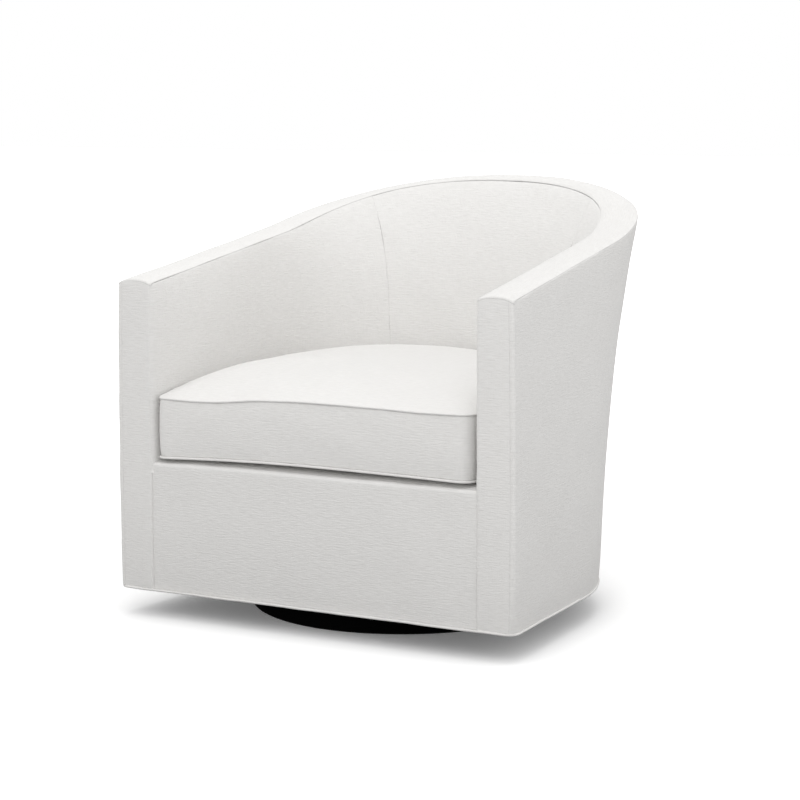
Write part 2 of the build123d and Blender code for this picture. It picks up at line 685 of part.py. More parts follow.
def make_rail_upholstery():
    inner_y, inner_top = FRONT_Y + RAIL_RECESS + COVER, RAIL_TOP_Z - COVER
    cover = rail_wrap(FRONT_Y + RAIL_RECESS, RAIL_TOP_Z, RAIL_TOP_ROUND)
    cover -= rail_wrap(inner_y, inner_top, RAIL_TOP_ROUND - COVER)
    gap = LAYER_GAP
    pad = rail_wrap(inner_y + gap, inner_top - gap, RAIL_TOP_ROUND - COVER - gap)
    back_y, room_y = DECK_FRONT_Y, POST_FRONT_Y - gap
    room_top = DECK_Z
    room = Rectangle(back_y - room_y, room_top - COVER_Z)
    pad -= Pos((back_y + room_y) / 2, (room_top + COVER_Z) / 2) * room
    fit = plan_face(seat_line(COVER_Z, -gap), COVER_Z, FRONT_Y)
    fit = Solid.extrude(fit, Vector(0, 0, RAIL_TOP_Z - COVER_Z))
    for name, sketch in (("rail_cover", cover), ("rail_pad", pad)):
        keep(name, extrude(Plane.YZ * sketch, SEAT_FRONT_HALF, both=True) & fit)


def make_deck_and_underside():
    for name, z, thickness in (("deck_pad", DECK_Z, DECK_PAD), ("deck_cover", DECK_COVER_Z, COVER)):
        sheet = plan_face(seat_line(z, -LAYER_GAP), z, DECK_FRONT_Y)
        keep(name, Solid.extrude(sheet, Vector(0, 0, thickness)))
    z = FRAME_Z - DUST_COVER - PIVOT_PLAY
    sheet = plan_face(lambda s: s.hem_r - FRAME_IN, z, POST_FRONT_Y)
    dust = Solid.extrude(sheet, Vector(0, 0, DUST_COVER))
    window = PLATE_SIZE + 2 * WINDOW_MARGIN
    keep("dust_cover", dust - Pos(0, 0, z) * Box(window, window, 4 * DUST_COVER))


def cord(path, radius):
    """Round cord along a path."""
    return sweep(Plane(origin=path @ 0, z_dir=path % 0) * Circle(radius), path=path)


def make_hem():
    radius = WELT / 2
    z = HEM_Z + radius
    ring = [Station(p) for p in ROUND]
    ring = [s.point(s.hem_r + WELT_PROUD - radius, z) for s in ring]
    corners = [s.point(s.hem_r + WELT_PROUD - radius, z) for s in (Station(-FRONT), Station(FRONT))]
    loop = Wire([Edge.make_line(corners[0], ring[0]),
                 Edge.make_spline(ring, tangents=[ring[0] - corners[0], corners[1] - ring[-1]]),
                 Edge.make_line(ring[-1], corners[1])])
    half = HEM_FRONT_HALF - radius - LAYER_GAP
    front = Pos(0, FRONT_Y - WELT_PROUD + radius, z) * Rot(0, 90, 0) * Cylinder(radius, 2 * half)
    keep("hem_welt", cord(loop, radius), front)


# ---------------------------------------------------------------- seat cushion
def cushion_body(inset):
    """Cushion form, inset all round: upright sides and a top crowned like a large ball."""
    sheet = plan_face(seat_line(CUSHION_Z, -CUSHION_GAP - inset), CUSHION_Z + inset,
                      CUSHION_FRONT_Y + inset, CUSHION_CORNER - inset)
    block = Solid.extrude(sheet, Vector(0, 0, CUSHION_TOP_Z - CUSHION_Z + 2 * CUSHION_WELT))
    centre = Pos(0, CUSHION_CROWN_Y, CUSHION_TOP_Z - CUSHION_CROWN_RADIUS)
    return block & centre * Rot(0, 90, 0) * Sphere(CUSHION_CROWN_RADIUS - inset)


def half_welt(face, drop):
    """Cord along the edge of the right half of a face, lowered by drop."""
    centre_line = 0.01
    path = Wire([edge for edge in face.edges() if edge.center().X > centre_line])
    path = path.translate(Vector(0, 0, -drop))
    return cord(path, CUSHION_WELT / 2)


def zip_arc():
    """Radius and centre y of the arc just outside the back of the cushion."""
    stations = [Station(step / 100) for step in range(100)]
    points = [s.point(s.inner(CUSHION_Z) - CUSHION_GAP, 0) for s in stations]
    run = [point for point in points if point.X <= ZIP_LENGTH / 2]
    drop = run[0].Y - run[-1].Y
    radius = (run[-1].X ** 2 + drop**2) / (2 * drop)
    centre = Vector(0, run[0].Y - radius, 0)
    return max((point - centre).length for point in run), centre.Y


def arc_strip(radius, inner, outer, low, high, degrees):
    """Curved strip about the zip's centre, between two offsets and two heights."""
    section = Rectangle(outer - inner, high - low)
    spot = Pos(radius + (inner + outer) / 2, (low + high) / 2)
    face = Plane.XZ * spot * section
    return Rot(0, 0, 90 - degrees / 2) * revolve(face, Axis.Z, degrees)


def make_cushion():
    keep("cushion_cover", cushion_body(0) - cushion_body(COVER))
    half = Pos(RIM_FRONT_HALF, 0, 0) * Box(2 * RIM_FRONT_HALF, 4 * RIM_FRONT_HALF, 2000)
    faces = (cushion_body(-CUSHION_WELT / 2 - LAYER_GAP) & half).faces().sort_by(Axis.Z)
    cords = [half_welt(faces[-1], CUSHION_WELT), half_welt(faces[0], -CUSHION_WELT)]
    cords += [mirror(each, Plane.YZ) for each in cords]
    keep("cushion_welt", *cords)
    keep("cushion_foam", cushion_body(COVER + LAYER_GAP))
    radius, centre_y = zip_arc()
    middle = (CUSHION_Z + CUSHION_TOP_Z - ZIP_TAPE_HEIGHT) / 2
    coil_in = LAYER_GAP + ZIP_TAPE
    coil_out = coil_in + ZIP_COIL
    half_tape, half_coil = ZIP_TAPE_HEIGHT / 2, ZIP_COIL_HEIGHT / 2
    here = Pos(0, centre_y, middle)
    span = ZIP_LENGTH / radius * 180 / pi
    tape = arc_strip(radius, LAYER_GAP, coil_in, -half_tape, half_tape, span)
    tape += arc_strip(radius, coil_in, coil_out, -half_coil, half_coil, span)
    keep("cushion_zip", here * tape)
    length, pull = (size / radius * 180 / pi for size in (SLIDER_LENGTH, PULL_WIDTH))
    slot = half_coil + ZIP_CLEAR
    reach = slot + SLIDER_WALL
    face = coil_out + ZIP_CLEAR
    slider = arc_strip(radius, coil_in + ZIP_CLEAR, face + SLIDER_WALL, -reach, reach, length)
    slider -= arc_strip(radius, coil_in, face, -slot, slot, 2 * length)
    slider += arc_strip(radius, face + SLIDER_WALL / 2, face + 2 * SLIDER_WALL, -PULL_LENGTH,
                        half_coil, pull)
    turn = (ZIP_LENGTH / 2 - SLIDER_LENGTH) / radius * 180 / pi
    keep("zip_slider", here * Rot(0, 0, turn) * slider)


# ---------------------------------------------------------------- build and export
make_plinth()
make_swivel()
make_rails()
make_posts()
make_front_rail()
make_swivel_board()
make_suspension()
make_outer_layers()
make_inner_layers()
make_band()
make_arm_fronts()
make_rail_upholstery()
make_deck_and_underside()
make_hem()
make_cushion()

os.makedirs("parts", exist_ok=True)
for name, solids in PARTS.items():
    found = [solid for shape in solids for solid in shape.solids()]
    export_step(Compound(found), f"parts/{name}.step")
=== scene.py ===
"""Swivel barrel chair: the upholstery, piping, cushion and finishes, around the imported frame.

The walls repeat the part's own outlines. Sizes are in millimetres until a mesh is made in metres.
A place says how far round the wall something is: -2 at the left arm front, 0 in the middle of the
back and 2 at the right arm front. A run is 0 at an arm front and 2 in the middle of the back.
"""

import json
import bpy
import numpy as np
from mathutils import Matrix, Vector


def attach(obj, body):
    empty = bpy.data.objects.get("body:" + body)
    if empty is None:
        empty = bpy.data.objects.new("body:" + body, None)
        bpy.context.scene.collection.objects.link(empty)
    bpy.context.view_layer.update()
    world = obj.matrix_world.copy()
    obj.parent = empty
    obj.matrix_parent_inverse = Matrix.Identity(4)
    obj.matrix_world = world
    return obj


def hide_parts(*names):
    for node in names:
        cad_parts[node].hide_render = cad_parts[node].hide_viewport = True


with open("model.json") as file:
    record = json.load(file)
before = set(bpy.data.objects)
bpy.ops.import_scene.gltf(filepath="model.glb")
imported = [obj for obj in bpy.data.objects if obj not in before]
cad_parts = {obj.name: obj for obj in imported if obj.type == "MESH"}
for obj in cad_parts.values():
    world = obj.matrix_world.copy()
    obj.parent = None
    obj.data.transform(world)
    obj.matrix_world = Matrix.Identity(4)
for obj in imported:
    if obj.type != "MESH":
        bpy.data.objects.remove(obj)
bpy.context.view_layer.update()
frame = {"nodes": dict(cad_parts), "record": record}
MM = 0.001

# ------------------------------------------------------------------ camera
CAMERA_AT = Vector((1.9913, -3.6068, 0.9434))
CAMERA_LOOK = Vector((-0.479695, 0.866997, -0.134944))
LENS, SENSOR = 100.0, 36.0

camera = bpy.data.objects.new("camera", bpy.data.cameras.new("camera"))
camera.data.lens = LENS
camera.data.sensor_width = SENSOR
camera.location = CAMERA_AT
camera.rotation_euler = CAMERA_LOOK.to_track_quat("-Z", "Y").to_euler()
bpy.context.collection.objects.link(camera)
bpy.context.scene.camera = camera

# ------------------------------------------------------------------ sizes of the part
FRONT_Y = -342.0
BEND_Y, RIM_BEND_Y = -28.0, 103.0
PAD_Z, HEM_Z = 262.4, 48.6
BAND_WIDTH = 67.5
OUTER_LEAN = 0.255
FRONT, SEAM = 2.0, 0.4  # places of the arm fronts and of the inner corner seams
PLACE_MM = 450.0  # length of one place along the wall, nearly
DECK_FRONT_Y, DECK_Z, DECK_TOP_Z = -284.0, 268.9, 296.2
DUST_Z = 49.6

# ------------------------------------------------------------------ sizes of the dressed walls
OUTER_SWELL = 1.8
SHOULDER, SHOULDER_PLACE, SHOULDER_REACH = 3.6, 0.55, 0.33
WIDER_LEFT, WIDER_RIGHT, WIDER_REACH = 3.4, 1.2, 0.4  # of the band, towards the arm fronts
# Painted seam shade: how far from a seam the darkening reaches, in mm
SEAM_SHADE_REACH = 0.75
SEAM_DROP, SEAM_UNDER = 0.9, 1.8
CORNER, INNER_CORNER = 5.0, 6.0
HEM_CORNER_LEFT, HEM_CORNER_RIGHT, HEM_CORNER_REACH = 2.0, 14.0, 70.0  # added to CORNER
SIDE_SLOPE, SIDE_SLOPE_EASE = 0.052, 0.02
WRAP = 4.5
FALL, FALL_REACH = 3.2, 30.0
LEVEL_STEP, PLACE_STEP = 12.0, 9.0
SWELL, SWELL_LOW, LOWER_SWELL = 4.0, 400.0, 3.0
SEAT_Z = 430.0
SWELL_BACK, LOWER_BACK, LOWER_DOWN = 60.0, 12.0, 40.0  # how soon these begin, from the edges
WELT_RADIUS = 2.3
WALL_LOW = HEM_Z + 2 * WELT_RADIUS - 0.6
RAIL_RECESS, RAIL_TOP_Z, RAIL_ROUND, RAIL_RISE, RAIL_HALF = 4.0, 290.0, 6.0, 4.6, 332.2
RAIL_SAG, RAIL_SAG_LEFT, RAIL_SAG_REACH, RAIL_SAG_DOWN = 1.2, 4.0, 120.0, 60.0

# The top band's crown over its seams, and where it is fuller: (height, place, reach)
CROWN, CROWN_CUT, CROWN_POWER = 3.6, 3.0, 2.8
CROWN_BACK, CROWN_FRONT, CROWN_RIGHT = (8.0, 0.08, 0.58), (7.0, FRONT, 0.3), (2.6, 0.38, 0.36)

# Seams: how deep the edge rolls in, over what width, and how dark the painted shade along it is
COVER_SEAM, COVER_TOP, COVER_HEM = (1.4, 2.4, 0.25), (1.2, 2.2, 0.1), (0.5, 2.5, 0.0)
BAND_END, BAND_INNER, BAND_OUTER = (1.4, 2.0, 0.35), (1.6, 2.4, 0.3), (1.8, 2.4, 0.35)
ARM_INNER, HEM_EDGE = (4.6, 4.5, 0.05), (0.4, 2.5, 0.0)
RAIL_LEFT, RAIL_RIGHT = (0.8, 3.0, 0.05), (2.4, 6.5, 0.1)
INNER_SEAM, FINE_SEAM, FRONT_EDGE = (0.3, 2.4, 0.0), (0.4, 2.0, 0.0), (5.0, 9.0, 0.1)
TOP_SEAM, SOFT_TOP_SEAM = (2.0, 2.6, 0.4), (1.4, 3.5, 0.05)
ZIP_EDGE = (0.4, 1.0, 0.3)

# ------------------------------------------------------------------ sizes of the cushion
CUSHION_Z, CUSHION_GAP, CUSHION_FRONT_Y = 296.7, 12.0, -338.0
CUSHION_PLAN_Z, CUSHION_ASIDE, CUSHION_CENTRE_Y = 330.0, 2.5, 25.0
CUSHION_CORNER_LEFT, CUSHION_CORNER_RIGHT, CUSHION_POINTS = 11.0, 26.0, 420
BORDER, BORDER_SWELL, BORDER_INSET = 110.0, 4.0, 2.4  # side's nominal height, bulge and inset
EDGE_ROLL = 1.8  # of the top and the side at their piping
SEAM_TOP_Z, SEAM_SIDE_Z, SEAM_LOW_Z, PEAK_Z = 411.5, 414.0, 300.5, 462.7
PIPING_TOP, PIPING_BOTTOM = 2.0, 2.3
ZIP_RADIUS, ZIP_CENTRE_Y, ZIP_Z, ZIP_HALF, ZIP_TEETH = 353.2, -43.3, 363.8, 0.4247, 900
TAPE_HALF, TAPE_OUT, TEETH_OUT, TEETH_RADIUS = 12.0, 1.3, 2.1, 1.3


def array(*values):
    return np.array(values, dtype=float)


def near(value, centre, reach):
    """1 at the centre and soft down to 0 on both sides."""
    return np.exp(-(((value - centre) / reach) ** 2))


def fade(distance, reach):
    """1 at no distance and down to 0 beyond the reach."""
    return np.exp(-distance / reach)


def bezier(a, b, c, d, t):
    return a * (1 - t) ** 3 + b * 3 * t * (1 - t) ** 2 + c * 3 * t * t * (1 - t) + d * t**3


# ------------------------------------------------------------------ walls
class Outline:
    """Right half of a plan outline: straight from the front to the bend, curved to the back."""

    def __init__(self, front_half, bend_half, bend_y, back_y, side_reach, back_reach, heights):
        self.front = array(front_half, FRONT_Y, heights[0])
        self.bend = array(bend_half, bend_y, heights[1])
        self.back = array(0, back_y, heights[2])
        self.side = self.bend + (self.bend - self.front) / (bend_y - FRONT_Y) * side_reach
        self.rear = array(back_reach, back_y, heights[2])

    def at(self, run):
        if run <= 1:
            return self.front + (self.bend - self.front) * run
        return bezier(self.bend, self.side, self.rear, self.back, run - 1)

    def out(self, run):
        """Direction straight out of the wall, square to the front plane at the arm front."""
        step = 1e-3
        if run >= 2 - step:
            return array(0, 1, 0)
        ahead = self.at(min(run + step, 2)) - self.at(max(run - step, 0))
        if run < 1:
            ahead = (self.bend - self.front) * run + array(0, 1 - run, 0) * 100
        square = array(ahead[1], -ahead[0], 0)
        return square / np.linalg.norm(square)

    def reach(self, start, way):
        """How far from start, this way, the outline is met."""
        low, high = 0.0, 2.0
        for _ in range(34):
            middle = (low + high) / 2
            gap = self.at(middle) - start
            if gap[0] * way[1] - gap[1] * way[0] > 0:
                low = middle
            else:
                high = middle
        gap = self.at(low) - start
        return gap[0] * way[0] + gap[1] * way[1]


RIM = Outline(front_half=328.5, bend_half=314.8, bend_y=RIM_BEND_Y, back_y=404.5, side_reach=108.0,
              back_reach=292.0, heights=(611.5, 683.0, 779.0))
SEAT = Outline(front_half=330.0, bend_half=322.4, bend_y=BEND_Y, back_y=321.5, side_reach=321.0,
               back_reach=81.5, heights=(PAD_Z,) * 3)
HEM = Outline(front_half=401.8, bend_half=385.5, bend_y=BEND_Y, back_y=345.0, side_reach=225.0,
              back_reach=206.0, heights=(HEM_Z,) * 3)


class Stations:
    """Upright sections of the wall at these places."""

    def __init__(self, places):
        self.places = np.asarray(places, dtype=float)
        rows = []
        for place in self.places:
            run = 2 - abs(place)
            start, way = RIM.at(run), RIM.out(run)
            rows.append([*start, way[0], way[1], SEAT.reach(start, way), HEM.reach(start, way)])
        x, y, self.rim_z, dx, dy, self.seat_r, self.hem_r = np.array(rows).T
        self.side = np.where(self.places >= 0, 1.0, -1.0)
        away = np.abs(self.places)
        wider = np.where(self.side > 0, WIDER_RIGHT, WIDER_LEFT)
        self.wide = BAND_WIDTH + SHOULDER * near(away, SHOULDER_PLACE, SHOULDER_REACH)
        self.wide += wider * near(away, FRONT, WIDER_REACH)
        self.start, self.way = (x, y), (dx, dy)

    def point(self, r, z):
        """Points (station, level, 3) at these distances out from the rim seam and heights."""
        r, z = np.broadcast_arrays(r, z)
        x = self.side[:, None] * (self.start[0][:, None] + self.way[0][:, None] * r)
        y = self.start[1][:, None] + self.way[1][:, None] * r
        return np.stack([x, y, z], -1)

    def inner(self, z):
        """Distance out from the rim seam to the inside of the wall, at heights (station, level)."""
        share = np.clip((z - PAD_Z) / (self.rim_z[:, None] - PAD_Z), 0, None)
        return self.seat_r[:, None] * (1 - share**3)

    def outer(self, z):
        """Distance out from the rim seam to the outside of the wall."""
        share = (z - HEM_Z) / (self.rim_z[:, None] - HEM_Z)
        ease = 2 * OUTER_LEAN * share * (1 - share) + share**2
        bulge = OUTER_SWELL * 4 * np.clip(share * (1 - share), 0, None)
        return self.hem_r[:, None] + (self.wide[:, None] - self.hem_r[:, None]) * ease + bulge


ENDS = Stations([-FRONT, FRONT])


def at_ends(wall, z):
    """The same wall distance at the left and the right arm front, for heights of any shape."""
    return wall(np.stack([z.ravel()] * 2)).reshape(2, *z.shape)


def place_at(y):
    """Place of this depth on the straight part of the right rim."""
    return 2 - (y - FRONT_Y) / (RIM_BEND_Y - FRONT_Y)


# Spacing from a seam inwards: close at the roll of the edge, wider further in
EDGE = array(0, 0.15, 0.5, 1.0, 1.7, 2.6, 3.8, 5.5, 8.0, 12.0)


def spread(low, high, step, first=True, last=True):
    """Values from low to high about step apart, closer to the ends that are seams."""
    start = low + EDGE if first else array(low)
    end = high - EDGE[::-1] if last else array(high)
    count = max(2, int(round((end[0] - start[-1]) / step)))
    middle = np.linspace(start[-1], end[0], count + 1)[1:-1]
    return np.concatenate([start, middle, end])


def place_spread(low, high, seams=()):
    """Places from low to high, closer at the ends that are seams."""
    steps = spread(low * PLACE_MM, high * PLACE_MM, PLACE_STEP, low in seams, high in seams)
    return np.unique(steps) / PLACE_MM


def levels(low, high, first=True):
    """Heights (station, level) from low to high, with the seam spacing at the ends."""
    tall = 500.0
    base = spread(0.0, tall, LEVEL_STEP, first)
    low, high = np.broadcast_arrays(np.asarray(low, float), np.asarray(high, float))
    head, tail = len(EDGE) if first else 1, len(EDGE)
    middle = base[head - 1:len(base) - tail + 1]
    share = (middle - base[head - 1]) / (base[-tail] - base[head - 1])
    rows = []
    for a, b in zip(low, high):
        start, end = a + base[:head], b - (tall - base[-tail:])
        rows.append(np.concatenate([start[:-1], start[-1] + share * (end[0] - start[-1]), end[1:]]))
    return np.array(rows)


# ------------------------------------------------------------------ meshes
def smooth_noise(u, v, size, seed):
    """Soft even waves over a sheet, between about -1 and 1."""
    draw = np.random.RandomState(seed)
    total = 0
    for _ in range(9):
        angle, phase = draw.uniform(0, np.pi), draw.uniform(0, 2 * np.pi)
        reach = 2 * np.pi / (size * draw.uniform(0.6, 1.8))
        total = total + np.sin((u * np.cos(angle) + v * np.sin(angle)) * reach + phase)
    return total / 4


def edge_noise(run, size, seed):
    """The same waves along one line only."""
    return smooth_noise(run, run * 0, size, seed)


def lengths(points, axis):
    """Running length along one direction of a grid of points."""
    step = np.linalg.norm(np.diff(points, axis=axis), axis=-1)
    pad = [(0, 0), (0, 0)]
    pad[axis] = (1, 0)
    return np.cumsum(np.pad(step, pad), axis=axis)


def running(path):
    """Length along a path up to each of its points."""
    return np.concatenate([[0], np.cumsum(np.linalg.norm(np.diff(path, axis=0), axis=1))])


def normals(points):
    along, across = np.gradient(points, axis=0), np.gradient(points, axis=1)
    normal = np.cross(along, across)
    return normal / np.maximum(np.linalg.norm(normal, axis=-1, keepdims=True), 1e-9)


def roll(distance, depth, width):
    """How far a rounded edge has turned away at this distance from its seam."""
    share = np.clip(1 - distance / width, 0, 1)
    return depth * (1 - np.sqrt(1 - share**2))


def to_object(name, points, faces, weave, slot, seam_shade=None):
    """Mesh object in metres. The weave attribute places the yarns, and seam_shade is painted shade
    along the seams.
    """
    mesh = bpy.data.meshes.new(name)
    mesh.from_pydata((np.asarray(points) * MM).tolist(), [], faces)
    mesh.validate()
    for polygon in mesh.polygons:
        polygon.use_smooth = True
    layer = mesh.attributes.new("weave", "FLOAT_VECTOR", "POINT")
    layer.data.foreach_set("vector", (np.asarray(weave) * MM).astype(np.float32).ravel())
    if seam_shade is not None:
        layer = mesh.attributes.new("seam_shade", "FLOAT", "POINT")
        layer.data.foreach_set("value", seam_shade.astype(np.float32))
    made = bpy.data.objects.new(name, mesh)
    bpy.context.collection.objects.link(made)
    made.data.materials.append(MATERIALS[slot])
    return made


def quads(rows, columns, start, turned):
    """Faces of a grid of points, the other way round if turned."""
    faces = []
    for i in range(rows - 1):
        a, b = start + i * columns, start + (i + 1) * columns
        for j in range(columns - 1):
            face = [a + j, b + j, b + j + 1, a + j + 1]
            faces.append(face[::-1] if turned else face)
    return faces


def hoops(rows, count, closed, turned=False):
    """Faces from each ring of points to the next, and from the last to the first if closed."""
    faces = []
    for i in range(rows if closed else rows - 1):
        a, b = i * count, (i + 1) % rows * count
        for j in range(count):
            k = (j + 1) % count
            face = [a + j, b + j, b + k, a + k] if turned else [a + j, a + k, b + k, b + j]
            faces.append(face)
    return faces


def facing(points, normal, side):
    """1 where the grid's normals point to this side of the upholstery, otherwise -1."""
    flat = points * array(1, 1, 0)
    ways = {"outside": flat, "seat": -flat, "up": array(0, 0, 1), "front": array(0, -1, 0)}
    return 1.0 if (normal * ways[side]).sum() > 0 else -1.0


def panel(name, points, seams, side, seed, thickness=7.0, puff=0.0, reach=18.0, pucker=0.35,
          soft=0.5, swell=0.0, body="chair", slot="fabric_ivory"):
    """A closed padded panel over a grid of points, with rolled edges where it is sewn.

    seams: {"u0", "u1", "v0" or "v1": (depth, width, darkness of the painted seam shade)}, where u
    runs along the grid's rows and v along its columns. side is the way that the cloth faces. puff
    is how far the padding fills out, reached some way in from the seams; pucker and soft are
    unevenness.
    """
    u, v = lengths(points, 0), lengths(points, 1)
    normal = normals(points)
    out = facing(points, normal, side)
    normal = normal * out
    gaps = {"u0": (u, v), "u1": (u[-1:] - u, v), "v0": (v, u), "v1": (v[:, -1:] - v, u)}
    shift = soft * smooth_noise(u, v, 130, seed) + swell
    lift, turned_in, seam_shade = np.ones_like(u), np.zeros_like(u), np.zeros_like(u)
    for number, (key, (depth, width, dark)) in enumerate(seams.items()):
        gap, along = gaps[key]
        # Painted shade along each seam: the cloth's colour is darkened there
        seam_shade = np.maximum(seam_shade, dark * near(gap, 0, SEAM_SHADE_REACH))
        turned_in = np.maximum(turned_in, roll(gap, depth, width))
        waves = edge_noise(along, 26, seed * 7 + number)
        shift = shift + pucker * waves * fade(gap, 16) * (1 - fade(gap, 2))
        lift = lift * (1 - fade(gap, reach))
    front = points + normal * (shift - turned_in + puff * lift)[..., None]
    back = points - normal * thickness
    rows, columns = u.shape
    count = rows * columns
    faces = quads(rows, columns, 0, out < 0) + quads(rows, columns, count, out > 0)
    for line, turned in ((np.arange(columns), out < 0),
                         ((rows - 1) * columns + np.arange(columns), out > 0),
                         (np.arange(rows) * columns, out > 0),
                         (np.arange(rows) * columns + columns - 1, out < 0)):
        for a, b in zip(line[:-1], line[1:]):
            face = [int(a), int(a) + count, int(b) + count, int(b)]
            faces.append(face[::-1] if turned else face)
    weave = np.stack([u, v, u * 0], -1).reshape(-1, 3)
    every = np.concatenate([front.reshape(-1, 3), back.reshape(-1, 3)])
    # The back sheet and the side edges of a panel are painted with its darkest seam shade
    darkest_seam_shade = max(dark for _, _, dark in seams.values())
    seam_shade = np.concatenate([seam_shade.ravel(), np.ones(count) * darkest_seam_shade])
    made = to_object(name, every, faces, np.concatenate([weave, weave]), slot, seam_shade)
    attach(made, body)
    return made


def tube(name, path, radius, body, slot="fabric_ivory", closed=True, sides=12, teeth=1.0):
    """Round piping along a path. teeth scales the radius from point to point."""
    ahead = np.roll(path, -1, 0) - np.roll(path, 1, 0)
    if not closed:
        ahead[0], ahead[-1] = path[1] - path[0], path[-1] - path[-2]
    ahead /= np.linalg.norm(ahead, axis=1, keepdims=True)
    across = np.cross(ahead, array(0, 0, 1))
    across /= np.linalg.norm(across, axis=1, keepdims=True)
    up = np.cross(across, ahead)
    angles = np.linspace(0, 2 * np.pi, sides, endpoint=False)
    round_x, round_z = np.cos(angles)[None, :, None], np.sin(angles)[None, :, None]
    ring = across[:, None] * round_x + up[:, None] * round_z
    rows = len(path)
    points = path[:, None] + ring * np.broadcast_to(radius * teeth, rows)[:, None, None]
    faces = hoops(rows, sides, closed)
    if not closed:
        faces += [list(range(sides))[::-1], [(rows - 1) * sides + j for j in range(sides)]]
    weave = np.stack(np.broadcast_arrays(running(path)[:, None], angles[None] * radius, 0.0), -1)
    made = to_object(name, points.reshape(-1, 3), faces, weave.reshape(-1, 3), slot)
    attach(made, body)
    return made


class Loops:
    """Loops of points for a closed form, with the place of each point in the weave."""

    def __init__(self):
        self.rings, self.marks = [], []

    def add(self, flat, height, weave=None):
        """One loop in plan at a height, whose weave lies flat if it isn't given."""
        level = np.broadcast_to(height, len(flat))
        self.rings.append(np.column_stack([flat, level]))
        self.marks.append(np.column_stack([flat if weave is None else weave, level * 0]))


def disc(name, loops, slot, body):
    """Closed form from nested loops, capped at both ends."""
    rings, marks = loops.rings, loops.marks
    rows, count = len(rings), len(rings[0])
    points = np.concatenate([*rings, [rings[0].mean(0)], [rings[-1].mean(0)]])
    weave = np.concatenate([*marks, [marks[0].mean(0)], [marks[-1].mean(0)]])
    faces = hoops(rows, count, False, True)
    top, bottom, last = rows * count, rows * count + 1, (rows - 1) * count
    for j in range(count):
        k = (j + 1) % count
        faces.append([top, j, k])
        faces.append([bottom, last + k, last + j])
    made = to_object(name, points, faces, weave, slot)
    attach(made, body)
    return made


# ------------------------------------------------------------------ materials
class Graph:
    """Short hand for the node tree of a material or the world."""

    def __init__(self, owner):
        owner.use_nodes = True
        self.owner = owner
        self.nodes, self.links = owner.node_tree.nodes, owner.node_tree.links

    def add(self, kind, inputs=None, **settings):
        node = self.nodes.new("ShaderNode" + kind)
        for key, value in settings.items():
            setattr(node, key, value)
        for key, value in (inputs or {}).items():
            self.put(node.inputs[key], value)
        return node

    def put(self, socket, value):
        if isinstance(value, bpy.types.NodeSocket):
            self.links.new(value, socket)
        else:
            socket.default_value = value

    def math(self, operation, a, b=0.0):
        return self.add("Math", {0: a, 1: b}, operation=operation).outputs[0]

    def times(self, a, b):
        return self.math("MULTIPLY", a, b)

    def plus(self, a, b):
        return self.math("ADD", a, b)

    def stretched(self, vector, scale):
        return self.add("Mapping", {"Vector": vector, "Scale": scale}).outputs[0]

    def noise(self, vector, detail=2.0, rough=0.5, output="Fac"):
        inputs = {"Vector": vector, "Scale": 1.0, "Detail": detail, "Roughness": rough}
        return self.add("TexNoise", inputs).outputs[output]

    def blend(self, share, low, high):
        ramp = self.add("ValToRGB", {"Fac": share})
        for element, colour, place in zip(ramp.color_ramp.elements, (low, high), (0.3, 0.7)):
            element.color = (*colour, 1)
            element.position = place
        return ramp.outputs["Color"]

    def mix(self, share, a, b):
        return self.add("Mix", {"Factor": share, "A": a, "B": b},
                        data_type="RGBA").outputs["Result"]

    def background_rays(self):
        """1 for the rays that should meet plain white: seen, mirrored and through glass."""
        rays = self.add("LightPath").outputs
        behind = self.math("MAXIMUM", rays["Is Glossy Ray"], rays["Is Transmission Ray"])
        return self.math("MAXIMUM", rays["Is Camera Ray"], behind)

    def finish(self, colour, rough, height=None, depth=0.0002, strength=0.6, **constants):
        """Sets the shader, with a bump from a height, and returns the material."""
        shader = self.nodes["Principled BSDF"]
        self.put(shader.inputs["Base Color"], colour)
        self.put(shader.inputs["Roughness"], rough)
        for key, value in constants.items():
            shader.inputs[key.replace("_", " ")].default_value = value
        if height is not None:
            bump = self.add("Bump", {"Height": height, "Distance": depth, "Strength": strength})
            self.links.new(bump.outputs["Normal"], shader.inputs["Normal"])
        return self.owner


SLUB_ALONG, SLUB_ACROSS = 58.0, 390.0  # repeats per metre along and across a slub
# How dark the painted seam shade makes the cloth, as a share of its dark yarn colour
CREASE_SHADE = 0.22


